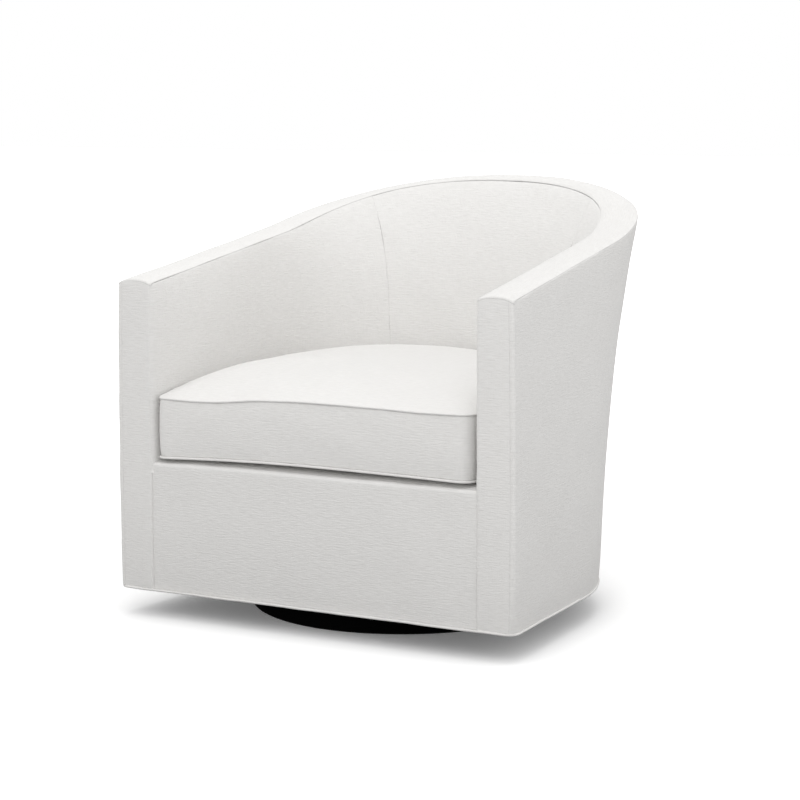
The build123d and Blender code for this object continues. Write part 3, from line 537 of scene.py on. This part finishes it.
def woven(name, light, dark, thread, sheen):
    """Plain weave of uneven yarns, thread mm apart, with thicker slubs across the cloth, and
    painted shade along the seams.
    """
    graph = Graph(bpy.data.materials.new(name))
    weave = graph.add("Attribute", attribute_name="weave").outputs["Vector"]
    wander = graph.noise(graph.stretched(weave, (90, 90, 1)), output="Color")
    drift = graph.add("VectorMath", {0: wander, 1: (0.0012, 0.0008, 0)},
                      operation="MULTIPLY").outputs[0]
    lay = graph.add("VectorMath", {0: weave, 1: drift}, operation="ADD").outputs[0]
    parts = graph.add("SeparateXYZ", {0: lay}).outputs
    rate = np.pi / (thread * MM)
    over, under = (graph.math("SINE", graph.times(parts[axis], rate)) for axis in "XY")
    slubs = graph.noise(graph.stretched(lay, (SLUB_ALONG, SLUB_ACROSS, 1)), 4.0, 0.62)
    warp_scale = (SLUB_ACROSS * 0.8, SLUB_ALONG * 0.5, 1)
    warp = graph.noise(graph.stretched(lay, warp_scale), 3.0, 0.55)
    patch = graph.noise(graph.stretched(weave, (9, 14, 1)), 3.0)
    rest = graph.plus(graph.times(warp, 0.13), graph.times(patch, 0.13))
    tone = graph.plus(graph.times(slubs, 0.74), rest)
    yarns = graph.times(graph.times(over, under), 0.08)
    height = graph.plus(yarns, graph.plus(slubs, graph.times(warp, 0.3)))
    rough = graph.plus(graph.times(slubs, 0.12), 0.84)
    # Painted seam shade: the cloth's colour is mixed towards the shade colour where the attribute
    # is set
    seam_shade = graph.add("Attribute", attribute_name="seam_shade").outputs["Fac"]
    shade = (*[CREASE_SHADE * part for part in dark], 1)
    colour = graph.mix(seam_shade, graph.blend(tone, dark, light), shade)
    return graph.finish(colour, rough, height, 0.0014, 0.8, Sheen_Weight=sheen,
                        Sheen_Roughness=0.45, Specular_IOR_Level=0.25)


def grained(name, light, dark, scale, rough, depth, metallic=0.0, specular=0.5):
    """Solid finish with streaks or specks whose size is set by scale (per metre)."""
    graph = Graph(bpy.data.materials.new(name))
    place = graph.add("TexCoord").outputs["Object"]
    streaks = graph.noise(graph.stretched(place, scale), 4.0, 0.6)
    cloud = graph.noise(graph.stretched(place, (7, 7, 7)))
    tone = graph.plus(graph.times(streaks, 0.75), graph.times(cloud, 0.25))
    uneven = 0.08
    finish = graph.plus(graph.times(streaks, uneven), rough - uneven / 2)
    return graph.finish(graph.blend(tone, dark, light), finish, streaks, depth, 0.5,
                        Metallic=metallic, Specular_IOR_Level=specular)


# Cloths: light and dark yarn, thread in mm, sheen
WOVEN = {
    "fabric_ivory": ((0.793, 0.784, 0.770), (0.711, 0.701, 0.685), 1.3, 0.12),
    "deck_cloth": ((0.74, 0.73, 0.70), (0.64, 0.63, 0.60), 0.9, 0.12),
    "dust_cloth": ((0.030, 0.030, 0.031), (0.014, 0.014, 0.015), 0.8, 0.05),
    "zip_tape": ((0.72, 0.71, 0.68), (0.60, 0.59, 0.57), 0.8, 0.12),
}
# Other finishes: light, dark, grain per metre, roughness, relief in metres, metallic, specular
GRAINED = {
    "webbing": ((0.38, 0.30, 0.21), (0.24, 0.18, 0.12), (900, 900, 250), 0.85, 0.0004),
    "foam": ((0.86, 0.82, 0.68), (0.76, 0.71, 0.56), (700, 700, 700), 0.95, 0.0005),
    "wadding": ((0.90, 0.90, 0.88), (0.80, 0.80, 0.78), (160, 160, 400), 0.98, 0.0008),
    "felt_black": ((0.05, 0.05, 0.05), (0.018, 0.018, 0.018), (800, 800, 800), 0.97, 0.0005),
    "plinth_black": ((0.0022, 0.0022, 0.0022), (0.001, 0.001, 0.001), (240, 18, 240), 0.85,
                     0.00005, 0.0, 0.03),
    "black_steel": ((0.035, 0.035, 0.036), (0.022, 0.022, 0.023), (900, 900, 900), 0.45,
                    0.00008, 0.3),
    "zinc_steel": ((0.66, 0.67, 0.68), (0.50, 0.51, 0.52), (350, 40, 350), 0.34, 0.00003, 1.0),
    "ball_steel": ((0.78, 0.78, 0.79), (0.70, 0.70, 0.71), (200, 200, 200), 0.12, 0.00001, 1.0),
    "spring_steel": ((0.34, 0.34, 0.35), (0.20, 0.20, 0.21), (60, 500, 500), 0.38, 0.00003, 1.0),
    "zip_metal": ((0.70, 0.70, 0.70), (0.55, 0.55, 0.55), (600, 600, 90), 0.28, 0.00002, 1.0),
    "cage_nylon": ((0.82, 0.81, 0.78), (0.74, 0.73, 0.70), (300, 300, 300), 0.5, 0.0002),
    "plywood": ((0.74, 0.58, 0.39), (0.55, 0.40, 0.25), (14, 14, 330), 0.72, 0.0002),
    "hardwood": ((0.62, 0.45, 0.28), (0.44, 0.29, 0.17), (150, 9, 150), 0.66, 0.0002),
    "liner_card": ((0.56, 0.46, 0.34), (0.46, 0.37, 0.27), (500, 500, 500), 0.9, 0.0001),
}
MATERIALS = {name: woven(name, *row) for name, row in WOVEN.items()}
MATERIALS.update({name: grained(name, *row) for name, row in GRAINED.items()})

SLOT_OF = {part["node"]: part["material_slot"] for part in frame["record"]["subparts"]}
for node, made in frame["nodes"].items():
    for place in made.material_slots:
        place.link = "OBJECT"
        place.material = MATERIALS[SLOT_OF[node]]


# ------------------------------------------------------------------ barrel
def crown(places, share):
    """Height of the top band over its seams, at a share of its width: (station, share)."""
    fuller = ((places, CROWN_BACK), (np.abs(places), CROWN_FRONT), (places, CROWN_RIGHT))
    back, front, right = (height * near(where, place, reach)
                          for where, (height, place, reach) in fuller)
    high = CROWN + np.maximum(back - CROWN_CUT, 0) + np.maximum(front - CROWN_CUT, 0) + right
    return high[:, None] * (1 - np.abs(2 * share - 1) ** CROWN_POWER)


def fall_at(y, corner):
    """How far the band's edge has dropped at this depth, where the plan corner has this radius."""
    behind = np.clip(y - FRONT_Y - corner, 0, None) * FALL_REACH / (FALL_REACH - corner)
    return roll(behind, FALL, FALL)


def corner_back(r):
    """How far the rounded corners in plan keep the band behind the arm fronts' plane."""
    return roll(r, INNER_CORNER, INNER_CORNER) + roll(BAND_WIDTH - r, CORNER, CORNER)


def soften(points):
    """Rounds the upright front corners more widely towards the hem, most on the right."""
    x, y, z = np.moveaxis(points, -1, 0)
    share = (z - HEM_Z) / (RIM.front[2] - HEM_Z)
    slope = SIDE_SLOPE - SIDE_SLOPE_EASE * share
    edge = RIM.front[0] + np.where(x < 0, *at_ends(ENDS.outer, z))
    behind = y - FRONT_Y
    inward = edge - slope * behind - np.abs(x)
    extra = np.where(x < 0, HEM_CORNER_LEFT, HEM_CORNER_RIGHT)
    radius = CORNER + extra * fade(z - HEM_Z, HEM_CORNER_REACH)
    away = np.hypot(radius - inward, radius - behind)
    outside = (inward < radius) & (behind < radius) & (away > radius)
    scale = np.where(outside, radius / np.maximum(away, 1e-6), 1.0)
    inward, behind = radius - (radius - inward) * scale, radius - (radius - behind) * scale
    return np.stack([np.sign(x) * (edge - slope * behind - inward), FRONT_Y + behind, z], -1)


def outer_piece():
    """The cover round the outside, turned a little onto both arm fronts."""
    turn = np.linspace(np.pi / 2, 0, 9)
    tucks = EDGE[EDGE < WRAP - 0.3]
    spots = np.concatenate([tucks - WRAP, CORNER * np.cos(turn)]) + BAND_WIDTH - CORNER
    first = place_at(FRONT_Y + CORNER + array(0.4, 0.9, 1.5, 2.2, 3.0, 5.0, 9.0))
    side = place_spread(-first[-1] + 0.02, first[-1] - 0.02)
    body = Stations(np.concatenate([-first, side, first[::-1]]))
    tips = ENDS.rim_z[0] + crown(ENDS.places, spots / BAND_WIDTH)[0] - FALL
    rims = body.rim_z - fall_at(body.start[1] + body.way[1] * BAND_WIDTH, CORNER)
    z = levels(WALL_LOW, np.concatenate([tips, rims, tips[::-1]]) - SEAM_DROP)
    count = len(tips)
    wall = body.point(body.outer(z[count:-count]), z[count:-count])
    fronts = []
    for index, heights in ((0, z[:count]), (1, z[:-count - 1:-1])):
        edge = at_ends(ENDS.outer, heights)[index]
        x = ENDS.side[index] * (ENDS.start[0][index] + edge - BAND_WIDTH + spots[:, None])
        y = FRONT_Y + corner_back(spots)[:, None] + 0 * x
        columns = np.stack([x, y, heights], -1)
        fronts.append(columns if index == 0 else columns[::-1])
    points = soften(np.concatenate([fronts[0], wall, fronts[1]]))
    seams = {"u0": COVER_SEAM, "u1": COVER_SEAM, "v0": COVER_HEM, "v1": COVER_TOP}
    piece = panel("outer_cover_dressed", points, seams, "outside", seed=3, thickness=4.5,
                  puff=1.2, soft=0.45)
    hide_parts("outer_cover", "outer_wadding")


def band_piece():
    """The strip along the arms and back, crowned, and turned down over both arm fronts."""
    across = spread(0.0, BAND_WIDTH, 4.0)
    share = across / BAND_WIDTH
    turn = np.linspace(np.pi / 2, 0.12, 9)
    tuck = EDGE[:5]
    behind = np.concatenate([0 * tuck, FALL * (1 - np.sin(turn)), array(4.5, 7.0, 11.0)])
    drop = np.concatenate([FALL + SEAM_UNDER - tuck, FALL * (1 - np.cos(turn)), array(0, 0, 0)])
    edge = place_at(FRONT_Y + behind)
    side = place_spread(-edge[-1] + 0.02, edge[-1] - 0.02)
    body = Stations(np.concatenate([-edge, side, edge[::-1]]))
    drops = np.zeros(len(body.places))
    drops[:len(drop)], drops[-len(drop):] = drop, drop[::-1]
    top = body.rim_z[:, None] + crown(body.places, share) - drops[:, None]
    points = body.point(share[None] * body.wide[:, None], top)
    depth = points[..., 1] - FRONT_Y
    back = corner_back(across)[None] * np.clip(1 - depth / FALL_REACH, 0, 1)
    points[..., 1] += back * (np.abs(body.places) > 1)[:, None]
    seams = {"u0": BAND_END, "u1": BAND_END, "v0": BAND_INNER, "v1": BAND_OUTER}
    piece = panel("top_band_dressed", points, seams, "up", seed=5, thickness=9.0, puff=0.6,
                  soft=0.35, pucker=0.3)
    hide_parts("band_cover", "band_pad")


# How far the inner left corner seam wanders round the wall, from the seat up to the rim
BEND_SHARES = (0.0, 0.25, 0.45, 0.62, 0.8, 1.0)
BEND_PLACES = (0.014, 0.012, 0.009, 0.003, -0.009, -0.030)
BEND_REACH = 0.13


def inner_piece(name, low, high, seams, seed, nodes):
    """One of the three panels inside. Every column is drawn along the wall with the bent seam."""
    places = place_spread(low, high, (low, high))
    beyond = array(0.03, 0.06)
    every = np.concatenate([low - beyond[::-1], places, high + beyond])
    stations = Stations(np.unique(np.clip(every, -FRONT, FRONT)))
    top = (stations.rim_z - fall_at(stations.start[1], INNER_CORNER) - SEAM_DROP)[:, None]
    z = levels(PAD_Z + 4, top[:, 0], first=False)
    points = stations.point(stations.inner(z), z)
    middle, half = (top + SWELL_LOW) / 2, (top - SWELL_LOW) / 2
    behind = (stations.start[1] - FRONT_Y)[:, None]
    swell = SWELL * np.clip(1 - ((z - middle) / half) ** 2, 0, None)
    swell = swell * (1 - fade(behind, SWELL_BACK))
    swell += LOWER_SWELL * (1 - fade(behind, LOWER_BACK)) * (1 - fade(top - z, LOWER_DOWN))
    bend = np.interp((z - SEAT_Z) / (top - SEAT_Z), BEND_SHARES, BEND_PLACES)
    bend = bend[np.searchsorted(stations.places, places)] * near(places, -SEAM, BEND_REACH)[:, None]
    sheet = np.concatenate([points, swell[..., None]], -1)
    drawn = np.array([[np.interp(places + bend[:, level], stations.places, sheet[:, level, part])
                       for part in range(4)] for level in range(z.shape[1])]).transpose(2, 0, 1)
    piece = panel(name, drawn[..., :3], seams, "seat", seed=seed, thickness=13.0, puff=3.0,
                  soft=0.6, pucker=0.45, swell=drawn[..., 3])
    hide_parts(*nodes)


def arm_front(side, name, nodes):
    """The narrow upright panel on an arm front, between the inner edge and the outer cover."""
    index = 0 if side < 0 else 1
    share = spread(0.0, 60.0, 4.0) / 60
    covered = share * (BAND_WIDTH - CORNER - WRAP) / BAND_WIDTH
    top = ENDS.rim_z[0] + crown(ENDS.places, covered)[0] - FALL - 0.2
    z = levels(WALL_LOW, top)
    low = at_ends(ENDS.inner, z)[index] + 0.8
    high = at_ends(ENDS.outer, z)[index] - CORNER - WRAP + 1.2
    x = side * (RIM.front[0] + low + (high - low) * share[:, None])
    points = soften(np.stack([x, np.full_like(x, FRONT_Y), z], -1))
    seams = {"u0": ARM_INNER, "u1": COVER_SEAM, "v0": HEM_EDGE, "v1": BAND_END}
    piece = panel(name, points, seams, "front", seed=8 + side, thickness=8.0, puff=1.4, soft=0.3,
                  pucker=0.3)
    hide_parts(*nodes)


def rail_piece():
    """The front rail: up from the hem, over a soft edge that sags a little, back to the deck."""
    front_y = FRONT_Y + RAIL_RECESS
    rise = spread(HEM_Z + WELT_RADIUS, RAIL_TOP_Z - RAIL_ROUND, 11, True, False)
    turn = np.linspace(0, np.pi / 2, 11)[1:]
    back = np.linspace(front_y + RAIL_ROUND, DECK_FRONT_Y - 1, 15)[1:]
    over_y = front_y + RAIL_ROUND * (1 - np.cos(turn))
    over_z = RAIL_TOP_Z - RAIL_ROUND * (1 - np.sin(turn))
    y = np.concatenate([np.full(len(rise), front_y), over_y, back])
    z = np.concatenate([rise, over_z, RAIL_TOP_Z + RAIL_RISE * (1 - fade(back - back[0], 16))])
    across = spread(-RAIL_HALF, RAIL_HALF, 14)
    sag = RAIL_SAG * np.cos(across / RAIL_HALF * np.pi / 2)
    sag += RAIL_SAG_LEFT * near(across, -RAIL_HALF, RAIL_SAG_REACH)
    sag = sag[:, None] * np.clip((z[None] - RAIL_TOP_Z + RAIL_SAG_DOWN) / RAIL_SAG_DOWN, 0, 1)
    x = across[:, None] + 0 * z[None]
    points = np.stack([x, y[None] + 0 * x, z[None] - sag], -1)
    seams = {"u0": RAIL_LEFT, "u1": RAIL_RIGHT, "v0": HEM_EDGE}
    piece = panel("front_rail_dressed", points, seams, "front", seed=12, puff=2.0, reach=30,
                  soft=0.6)
    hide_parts("rail_cover", "rail_pad")


# ------------------------------------------------------------------ flat outlines in plan
def plan_ring(z, offset, front_y, corner, count, hem=False, left_corner=None):
    """Closed loop inside the wall line at this height, evenly spaced, with rounded corners."""
    ahead = min(1.9, place_at(front_y + corner + 2))
    side = np.linspace(1.05, ahead, 14)
    stations = Stations(np.concatenate([-side[::-1], np.linspace(-1, 1, 61), side]))
    level = np.full((len(stations.places), 1), z)
    r = (stations.hem_r[:, None] if hem else stations.inner(level)) + offset
    ring = stations.point(r, level)[:, 0, :2]
    slope = (ring[-1] - ring[-2]) / (ring[-1][1] - ring[-2][1])
    edge = ring[-1] + slope * (front_y - ring[-1][1])
    angles = np.linspace(0, np.pi / 2, 12)
    turn = np.stack([np.cos(angles), -np.sin(angles)], 1)
    right, left = (array(edge[0] - radius, front_y + radius) + radius * turn
                   for radius in (corner, left_corner or corner))
    loop = np.concatenate([ring, right, left[::-1] * array(-1, 1), ring[:1]])
    run = running(loop)
    spots = np.linspace(0, run[-1], count, endpoint=False)
    even = np.stack([np.interp(spots, run, loop[:, k]) for k in (0, 1)], 1)
    for _ in range(2):
        even = (np.roll(even, 1, 0) + 2 * even + np.roll(even, -1, 0)) / 4
    return even


def hem_piece():
    """Piping round the hem, a little wavy."""
    ring = plan_ring(HEM_Z, offset=0.3, front_y=FRONT_Y + 0.6, corner=19.0, count=420, hem=True,
                     left_corner=8.0)
    ripple = 0.5 * edge_noise(np.arange(len(ring)) * 6.0, 120, 21)
    path = np.column_stack([ring, HEM_Z + WELT_RADIUS + ripple])
    piece = tube("hem_piping", path, WELT_RADIUS, "chair")
    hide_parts("hem_welt")


def deck_piece():
    """The padded deck under the cushion."""
    ring = plan_ring(DECK_TOP_Z, offset=-0.6, front_y=DECK_FRONT_Y, corner=6.0, count=200)
    loops = Loops()
    loops.add(ring * 0.02, DECK_Z + 1)
    for height in (DECK_Z + 1, DECK_Z + 6, DECK_TOP_Z - 9):
        loops.add(ring, height, ring + array(0, height))
    for share in (1.0, 0.98, 0.95, 0.91, 0.86, 0.8, 0.72, 0.6, 0.4, 0.2, 0.02):
        flat = ring * share
        gap = (1 - share) * np.linalg.norm(ring, axis=1)
        uneven = 0.5 * smooth_noise(flat[:, 0], flat[:, 1], 150, 31)
        loops.add(flat, DECK_TOP_Z - 0.6 - 4 * fade(gap, 20) + uneven)
    piece = disc("seat_deck", loops, "deck_cloth", "chair")
    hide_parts("deck_pad", "deck_cover")


# ------------------------------------------------------------------ seat cushion
def seam_top(x, y):
    """Height of the cushion's top seam round its edge: a step in front, and up to the back."""
    front = SEAM_TOP_Z + 6.5 * np.tanh((x + 160) / 60) + 1.2 * np.sin(x / 62 + 0.9)
    side = SEAM_SIDE_Z + 8 * (1 - fade(y - CUSHION_FRONT_Y, 160))
    side += 14 * np.clip((y - 120) / 190, 0, 1)
    share = np.clip((y - CUSHION_FRONT_Y) / 60, 0, 1)
    return front * (1 - share) + side * share


def seam_bottom(x, y):
    """Height of the bottom seam: it lifts off the rail in the middle and sinks at the left."""
    front = SEAM_LOW_Z + 3.5 * np.cos(x / 330 * np.pi / 2) - 5.5 * np.clip(-x / 300, 0, 1) ** 2
    share = np.clip((y - CUSHION_FRONT_Y) / 90, 0, 1)
    return front * (1 - share) + (CUSHION_Z + 3.0) * share


def peak_at(x):
    """Height of the cushion's crown, a little fuller on the left."""
    return PEAK_Z - 4.5 * np.tanh(x / 70)


def cushion_pieces():
    """The box cushion, crowned on top and bulged at the sides, with piping on both seams."""
    ring = plan_ring(CUSHION_PLAN_Z, offset=-CUSHION_GAP, front_y=CUSHION_FRONT_Y,
                     corner=CUSHION_CORNER_RIGHT, count=CUSHION_POINTS,
                     left_corner=CUSHION_CORNER_LEFT)
    ring[:, 0] -= CUSHION_ASIDE
    run = np.arange(CUSHION_POINTS) * np.linalg.norm(ring[1] - ring[0])
    x, y = ring.T
    top = seam_top(x, y) + 0.5 * edge_noise(run, 90, 41)
    bottom = seam_bottom(x, y)
    centre = array(0, CUSHION_CENTRE_Y)
    ahead = np.roll(ring, -1, 0) - np.roll(ring, 1, 0)
    out = np.column_stack([ahead[:, 1], -ahead[:, 0]])
    out /= np.linalg.norm(out, axis=1)[:, None]
    if (out * (ring - centre)).sum() < 0:
        out = -out

    def drawn_in(share):
        return centre + (ring - centre) * share

    loops = Loops()
    power = 3.0 + 2.4 * np.clip((y - CUSHION_FRONT_Y) / 120, 0, 1)
    for share in np.concatenate([[0.01], np.linspace(0.08, 0.93, 26), 1 - EDGE[::-1] / 300]):
        flat = drawn_in(share)
        gap = (1 - share) * np.linalg.norm(ring - centre, axis=1)
        peak = peak_at(flat[:, 0])
        dome = peak + (top - peak) * share**power - roll(gap, EDGE_ROLL, 4.0)
        dome += 0.7 * smooth_noise(flat[:, 0], flat[:, 1], 170, 43)
        loops.add(flat, dome + 0.5 * edge_noise(run, 30, 44) * fade(gap, 16) * (1 - fade(gap, 2)))
    for depth in spread(0.0, BORDER, 7.0):
        gap = min(depth, BORDER - depth)
        shift = BORDER_SWELL * (1 - fade(gap, 20)) - roll(gap, EDGE_ROLL, 3.5)
        shift = shift + 0.5 * smooth_noise(run, depth + run * 0, 120, 46)
        shift = shift + 0.4 * edge_noise(run, 28, 47) * fade(gap, 15)
        height = top - EDGE_ROLL - (top - bottom - 4.2) * depth / BORDER
        side = ring + out * (shift[:, None] - BORDER_INSET)
        loops.add(side, height, np.column_stack([run, height]))
    for share in (0.985, 0.95, 0.85, 0.6, 0.3, 0.01):
        loops.add(drawn_in(share), CUSHION_Z + 0.6 + (bottom - CUSHION_Z) * share**12)
    body = disc("seat_cushion", loops, "fabric_ivory", "cushion")
    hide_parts("cushion_cover", "cushion_foam")
    upper = np.column_stack([ring - out * 1.2, top - 1.2])
    lower = np.column_stack([ring - out * 0.6, bottom + 1.4])
    pipe = tube("cushion_piping_top", upper, PIPING_TOP, "cushion")
    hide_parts("cushion_welt")
    tube("cushion_piping_bottom", lower, PIPING_BOTTOM, "cushion")


# ------------------------------------------------------------------ zip, felt and bottom cloth
def zip_piece():
    """Two woven tapes with a row of coil teeth between them, on the back of the cushion."""
    angles = np.linspace(-ZIP_HALF, ZIP_HALF, 60)
    heights = spread(-TAPE_HALF, TAPE_HALF, 3.0)
    radius = ZIP_RADIUS + TAPE_OUT + 0.25 * np.cos(heights / TAPE_HALF * np.pi * 3)
    x = np.sin(angles)[:, None] * radius[None]
    y = ZIP_CENTRE_Y + np.cos(angles)[:, None] * radius[None]
    points = np.stack([x, y, ZIP_Z + heights[None] + 0 * x], -1)
    piece = panel("cushion_zip_tape", points, {"v0": ZIP_EDGE, "v1": ZIP_EDGE}, "outside", seed=51,
                  thickness=0.9, soft=0.1, pucker=0.1, body="cushion", slot="zip_tape")
    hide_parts("cushion_zip")
    turns = np.linspace(-ZIP_HALF + 0.01, ZIP_HALF - 0.01, ZIP_TEETH)
    radius = ZIP_RADIUS + TEETH_OUT
    path = np.column_stack([np.sin(turns) * radius, ZIP_CENTRE_Y + np.cos(turns) * radius,
                            np.full(ZIP_TEETH, ZIP_Z)])
    teeth = 0.78 + 0.22 * np.sin(np.arange(ZIP_TEETH) * np.pi / 3)
    tube("cushion_zip_teeth", path, TEETH_RADIUS, "cushion", "zip_tape", closed=False, sides=8,
         teeth=teeth)


def felt_piece():
    """Felt under the plinth, with a rounded edge."""
    angles = np.linspace(0, 2 * np.pi, 120, endpoint=False)
    ring = np.column_stack([np.cos(angles), np.sin(angles)])
    loops = Loops()
    for radius, height in ((2, 2.9), (140, 2.9), (270, 2.9), (275, 2.6), (276.4, 1.6), (275, 0.4),
                           (272, 0.05), (140, 0.05), (2, 0.05)):
        loops.add(ring * radius, height)
    piece = disc("felt_ring", loops, "felt_black", "base")
    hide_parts("felt_pad")


def bottom_cloth():
    """Thin black cloth stapled under the frame, open over the swivel."""
    outer = plan_ring(HEM_Z, offset=-10.0, front_y=FRONT_Y + 10.0, corner=12.0, count=240,
                      hem=True)
    turn = np.arctan2(outer[:, 1], outer[:, 0])
    window, thick = 152.0, 0.7
    inner = np.column_stack([np.cos(turn), np.sin(turn)])
    inner = inner * (window / np.maximum(np.abs(inner[:, 0]), np.abs(inner[:, 1])))[:, None]
    loops = Loops()
    shares = (0.0, 0.03, 0.12, 0.3, 0.5, 0.7, 0.88, 0.97, 1.0)
    for way, low in ((1, 0.0), (-1, thick)):
        for share in shares[::way]:
            flat = inner + (outer - inner) * share
            sag = np.sin(share * np.pi) * (1 + smooth_noise(flat[:, 0], flat[:, 1], 90, 61))
            loops.add(flat, DUST_Z + low - 0.07 * sag)
    faces = hoops(len(loops.rings), len(outer), True)
    points, weave = np.concatenate(loops.rings), np.concatenate(loops.marks)
    piece = to_object("bottom_cloth", points, faces, weave, "dust_cloth")
    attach(piece, "chair")
    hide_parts("dust_cover")


outer_piece()
band_piece()
inner_piece("inner_left_dressed", -FRONT, -SEAM,
            {"u0": FRONT_EDGE, "u1": INNER_SEAM, "v1": TOP_SEAM}, 14,
            ("inner_cover_left", "inner_pad_left"))
inner_piece("inner_back_dressed", -SEAM, SEAM,
            {"u0": INNER_SEAM, "u1": FINE_SEAM, "v1": TOP_SEAM}, 15,
            ("inner_cover_back", "inner_pad_back"))
inner_piece("inner_right_dressed", SEAM, FRONT,
            {"u0": FINE_SEAM, "u1": FRONT_EDGE, "v1": SOFT_TOP_SEAM}, 16,
            ("inner_cover_right", "inner_pad_right"))
arm_front(-1, "arm_front_left_dressed", ("arm_panel_left", "arm_pad_left"))
arm_front(1, "arm_front_right_dressed", ("arm_panel_right", "arm_pad_right"))
rail_piece()
hem_piece()
deck_piece()
cushion_pieces()
zip_piece()
felt_piece()
bottom_cloth()

# ------------------------------------------------------------------ floor, light and surroundings
FLOOR_HALF = 30.0
# Painted light and shade on the floor: to rays from the chair it is darker near the chair, which
# shades the chair's lower walls; the glow seen from the camera lightens the chair's shadow near it
# and makes the floor white beyond
BOUNCE_NEAR, BOUNCE_FAR = 0.24, 0.56  # what the floor throws back near the chair and beyond
BOUNCE_FROM, BOUNCE_TO = 0.4, 1.5  # between these distances from the swivel axis
GLOW_NEAR, GLOW_FAR = 0.11, 0.7  # added where the floor is seen, so that it ends in white
GLOW_FROM, GLOW_TO = 0.8, 3.5
WORLD_LIGHT = 0.9
# Lamps: where, aimed at, size and power
LAMPS = {
    "overhead": ((0.0, 0.0, 3.4), (0, 0, 0), 2.6, 22.5),
    "front_high": ((0.9, -3.0, 2.9), (0, 0, 0.4), 2.4, 21.5),
    "front_low": ((0.6, -4.0, 1.2), (0, 0, 0.4), 2.4, 13.0),
    "side_low": ((3.8, -0.4, 1.2), (0, 0, 0.4), 2.2, 9.0),
    "back_right": ((2.8, 2.4, 1.6), (0, 0, 0.4), 2.2, 9.0),
}


def floor_material():
    """Pale floor that reads as white to the camera and keeps the chair's shadow."""
    graph = Graph(bpy.data.materials.new("pale_floor"))
    white = (1, 1, 1, 1)
    spot = graph.add("NewGeometry").outputs["Position"]
    away = graph.add("VectorMath", {0: spot}, operation="LENGTH").outputs["Value"]
    far = graph.add("MapRange", {"Value": away, "From Min": BOUNCE_FROM,
                                 "From Max": BOUNCE_TO}).outputs[0]
    bounce = graph.mix(far, (*[BOUNCE_NEAR] * 3, 1), (*[BOUNCE_FAR] * 3, 1))
    seen = graph.add("LightPath").outputs["Is Camera Ray"]
    graph.finish(graph.mix(seen, bounce, white), 0.9, Specular_IOR_Level=0.1)
    rise = graph.add("MapRange", {"Value": away, "From Min": GLOW_FROM, "From Max": GLOW_TO,
                                  "To Min": GLOW_NEAR, "To Max": GLOW_FAR}).outputs[0]
    strength = graph.times(graph.background_rays(), rise)
    glow = graph.add("Emission", {"Color": white, "Strength": strength})
    shader = graph.nodes["Principled BSDF"].outputs[0]
    both = graph.add("AddShader", {0: shader, 1: glow.outputs[0]})
    graph.put(graph.nodes["Material Output"].inputs["Surface"], both.outputs[0])
    return graph.owner


floor_mesh = bpy.data.meshes.new("floor")
floor_mesh.from_pydata([(x * FLOOR_HALF, y * FLOOR_HALF, 0.0)
                        for x, y in ((-1, -1), (1, -1), (1, 1), (-1, 1))], [], [(0, 1, 2, 3)])
floor = bpy.data.objects.new("floor", floor_mesh)
bpy.context.collection.objects.link(floor)
floor.data.materials.append(floor_material())

sky = Graph(bpy.data.worlds.new("studio"))
bpy.context.scene.world = sky.owner
background = sky.nodes["Background"]
sky.put(background.inputs["Color"], (1, 1, 1, 1))
clear = sky.times(sky.background_rays(), 1.0 - WORLD_LIGHT)
sky.put(background.inputs["Strength"], sky.plus(clear, WORLD_LIGHT))

for name, (location, target, size, power) in LAMPS.items():
    lamp = bpy.data.lights.new(name, "AREA")
    lamp.shape = "DISK"
    lamp.size = size
    lamp.energy = power
    made = bpy.data.objects.new(name, lamp)
    made.location = location
    aim = Vector(target) - Vector(location)
    made.rotation_euler = aim.to_track_quat("-Z", "Y").to_euler()
    bpy.context.collection.objects.link(made)

bpy.context.scene.view_settings.view_transform = "Standard"
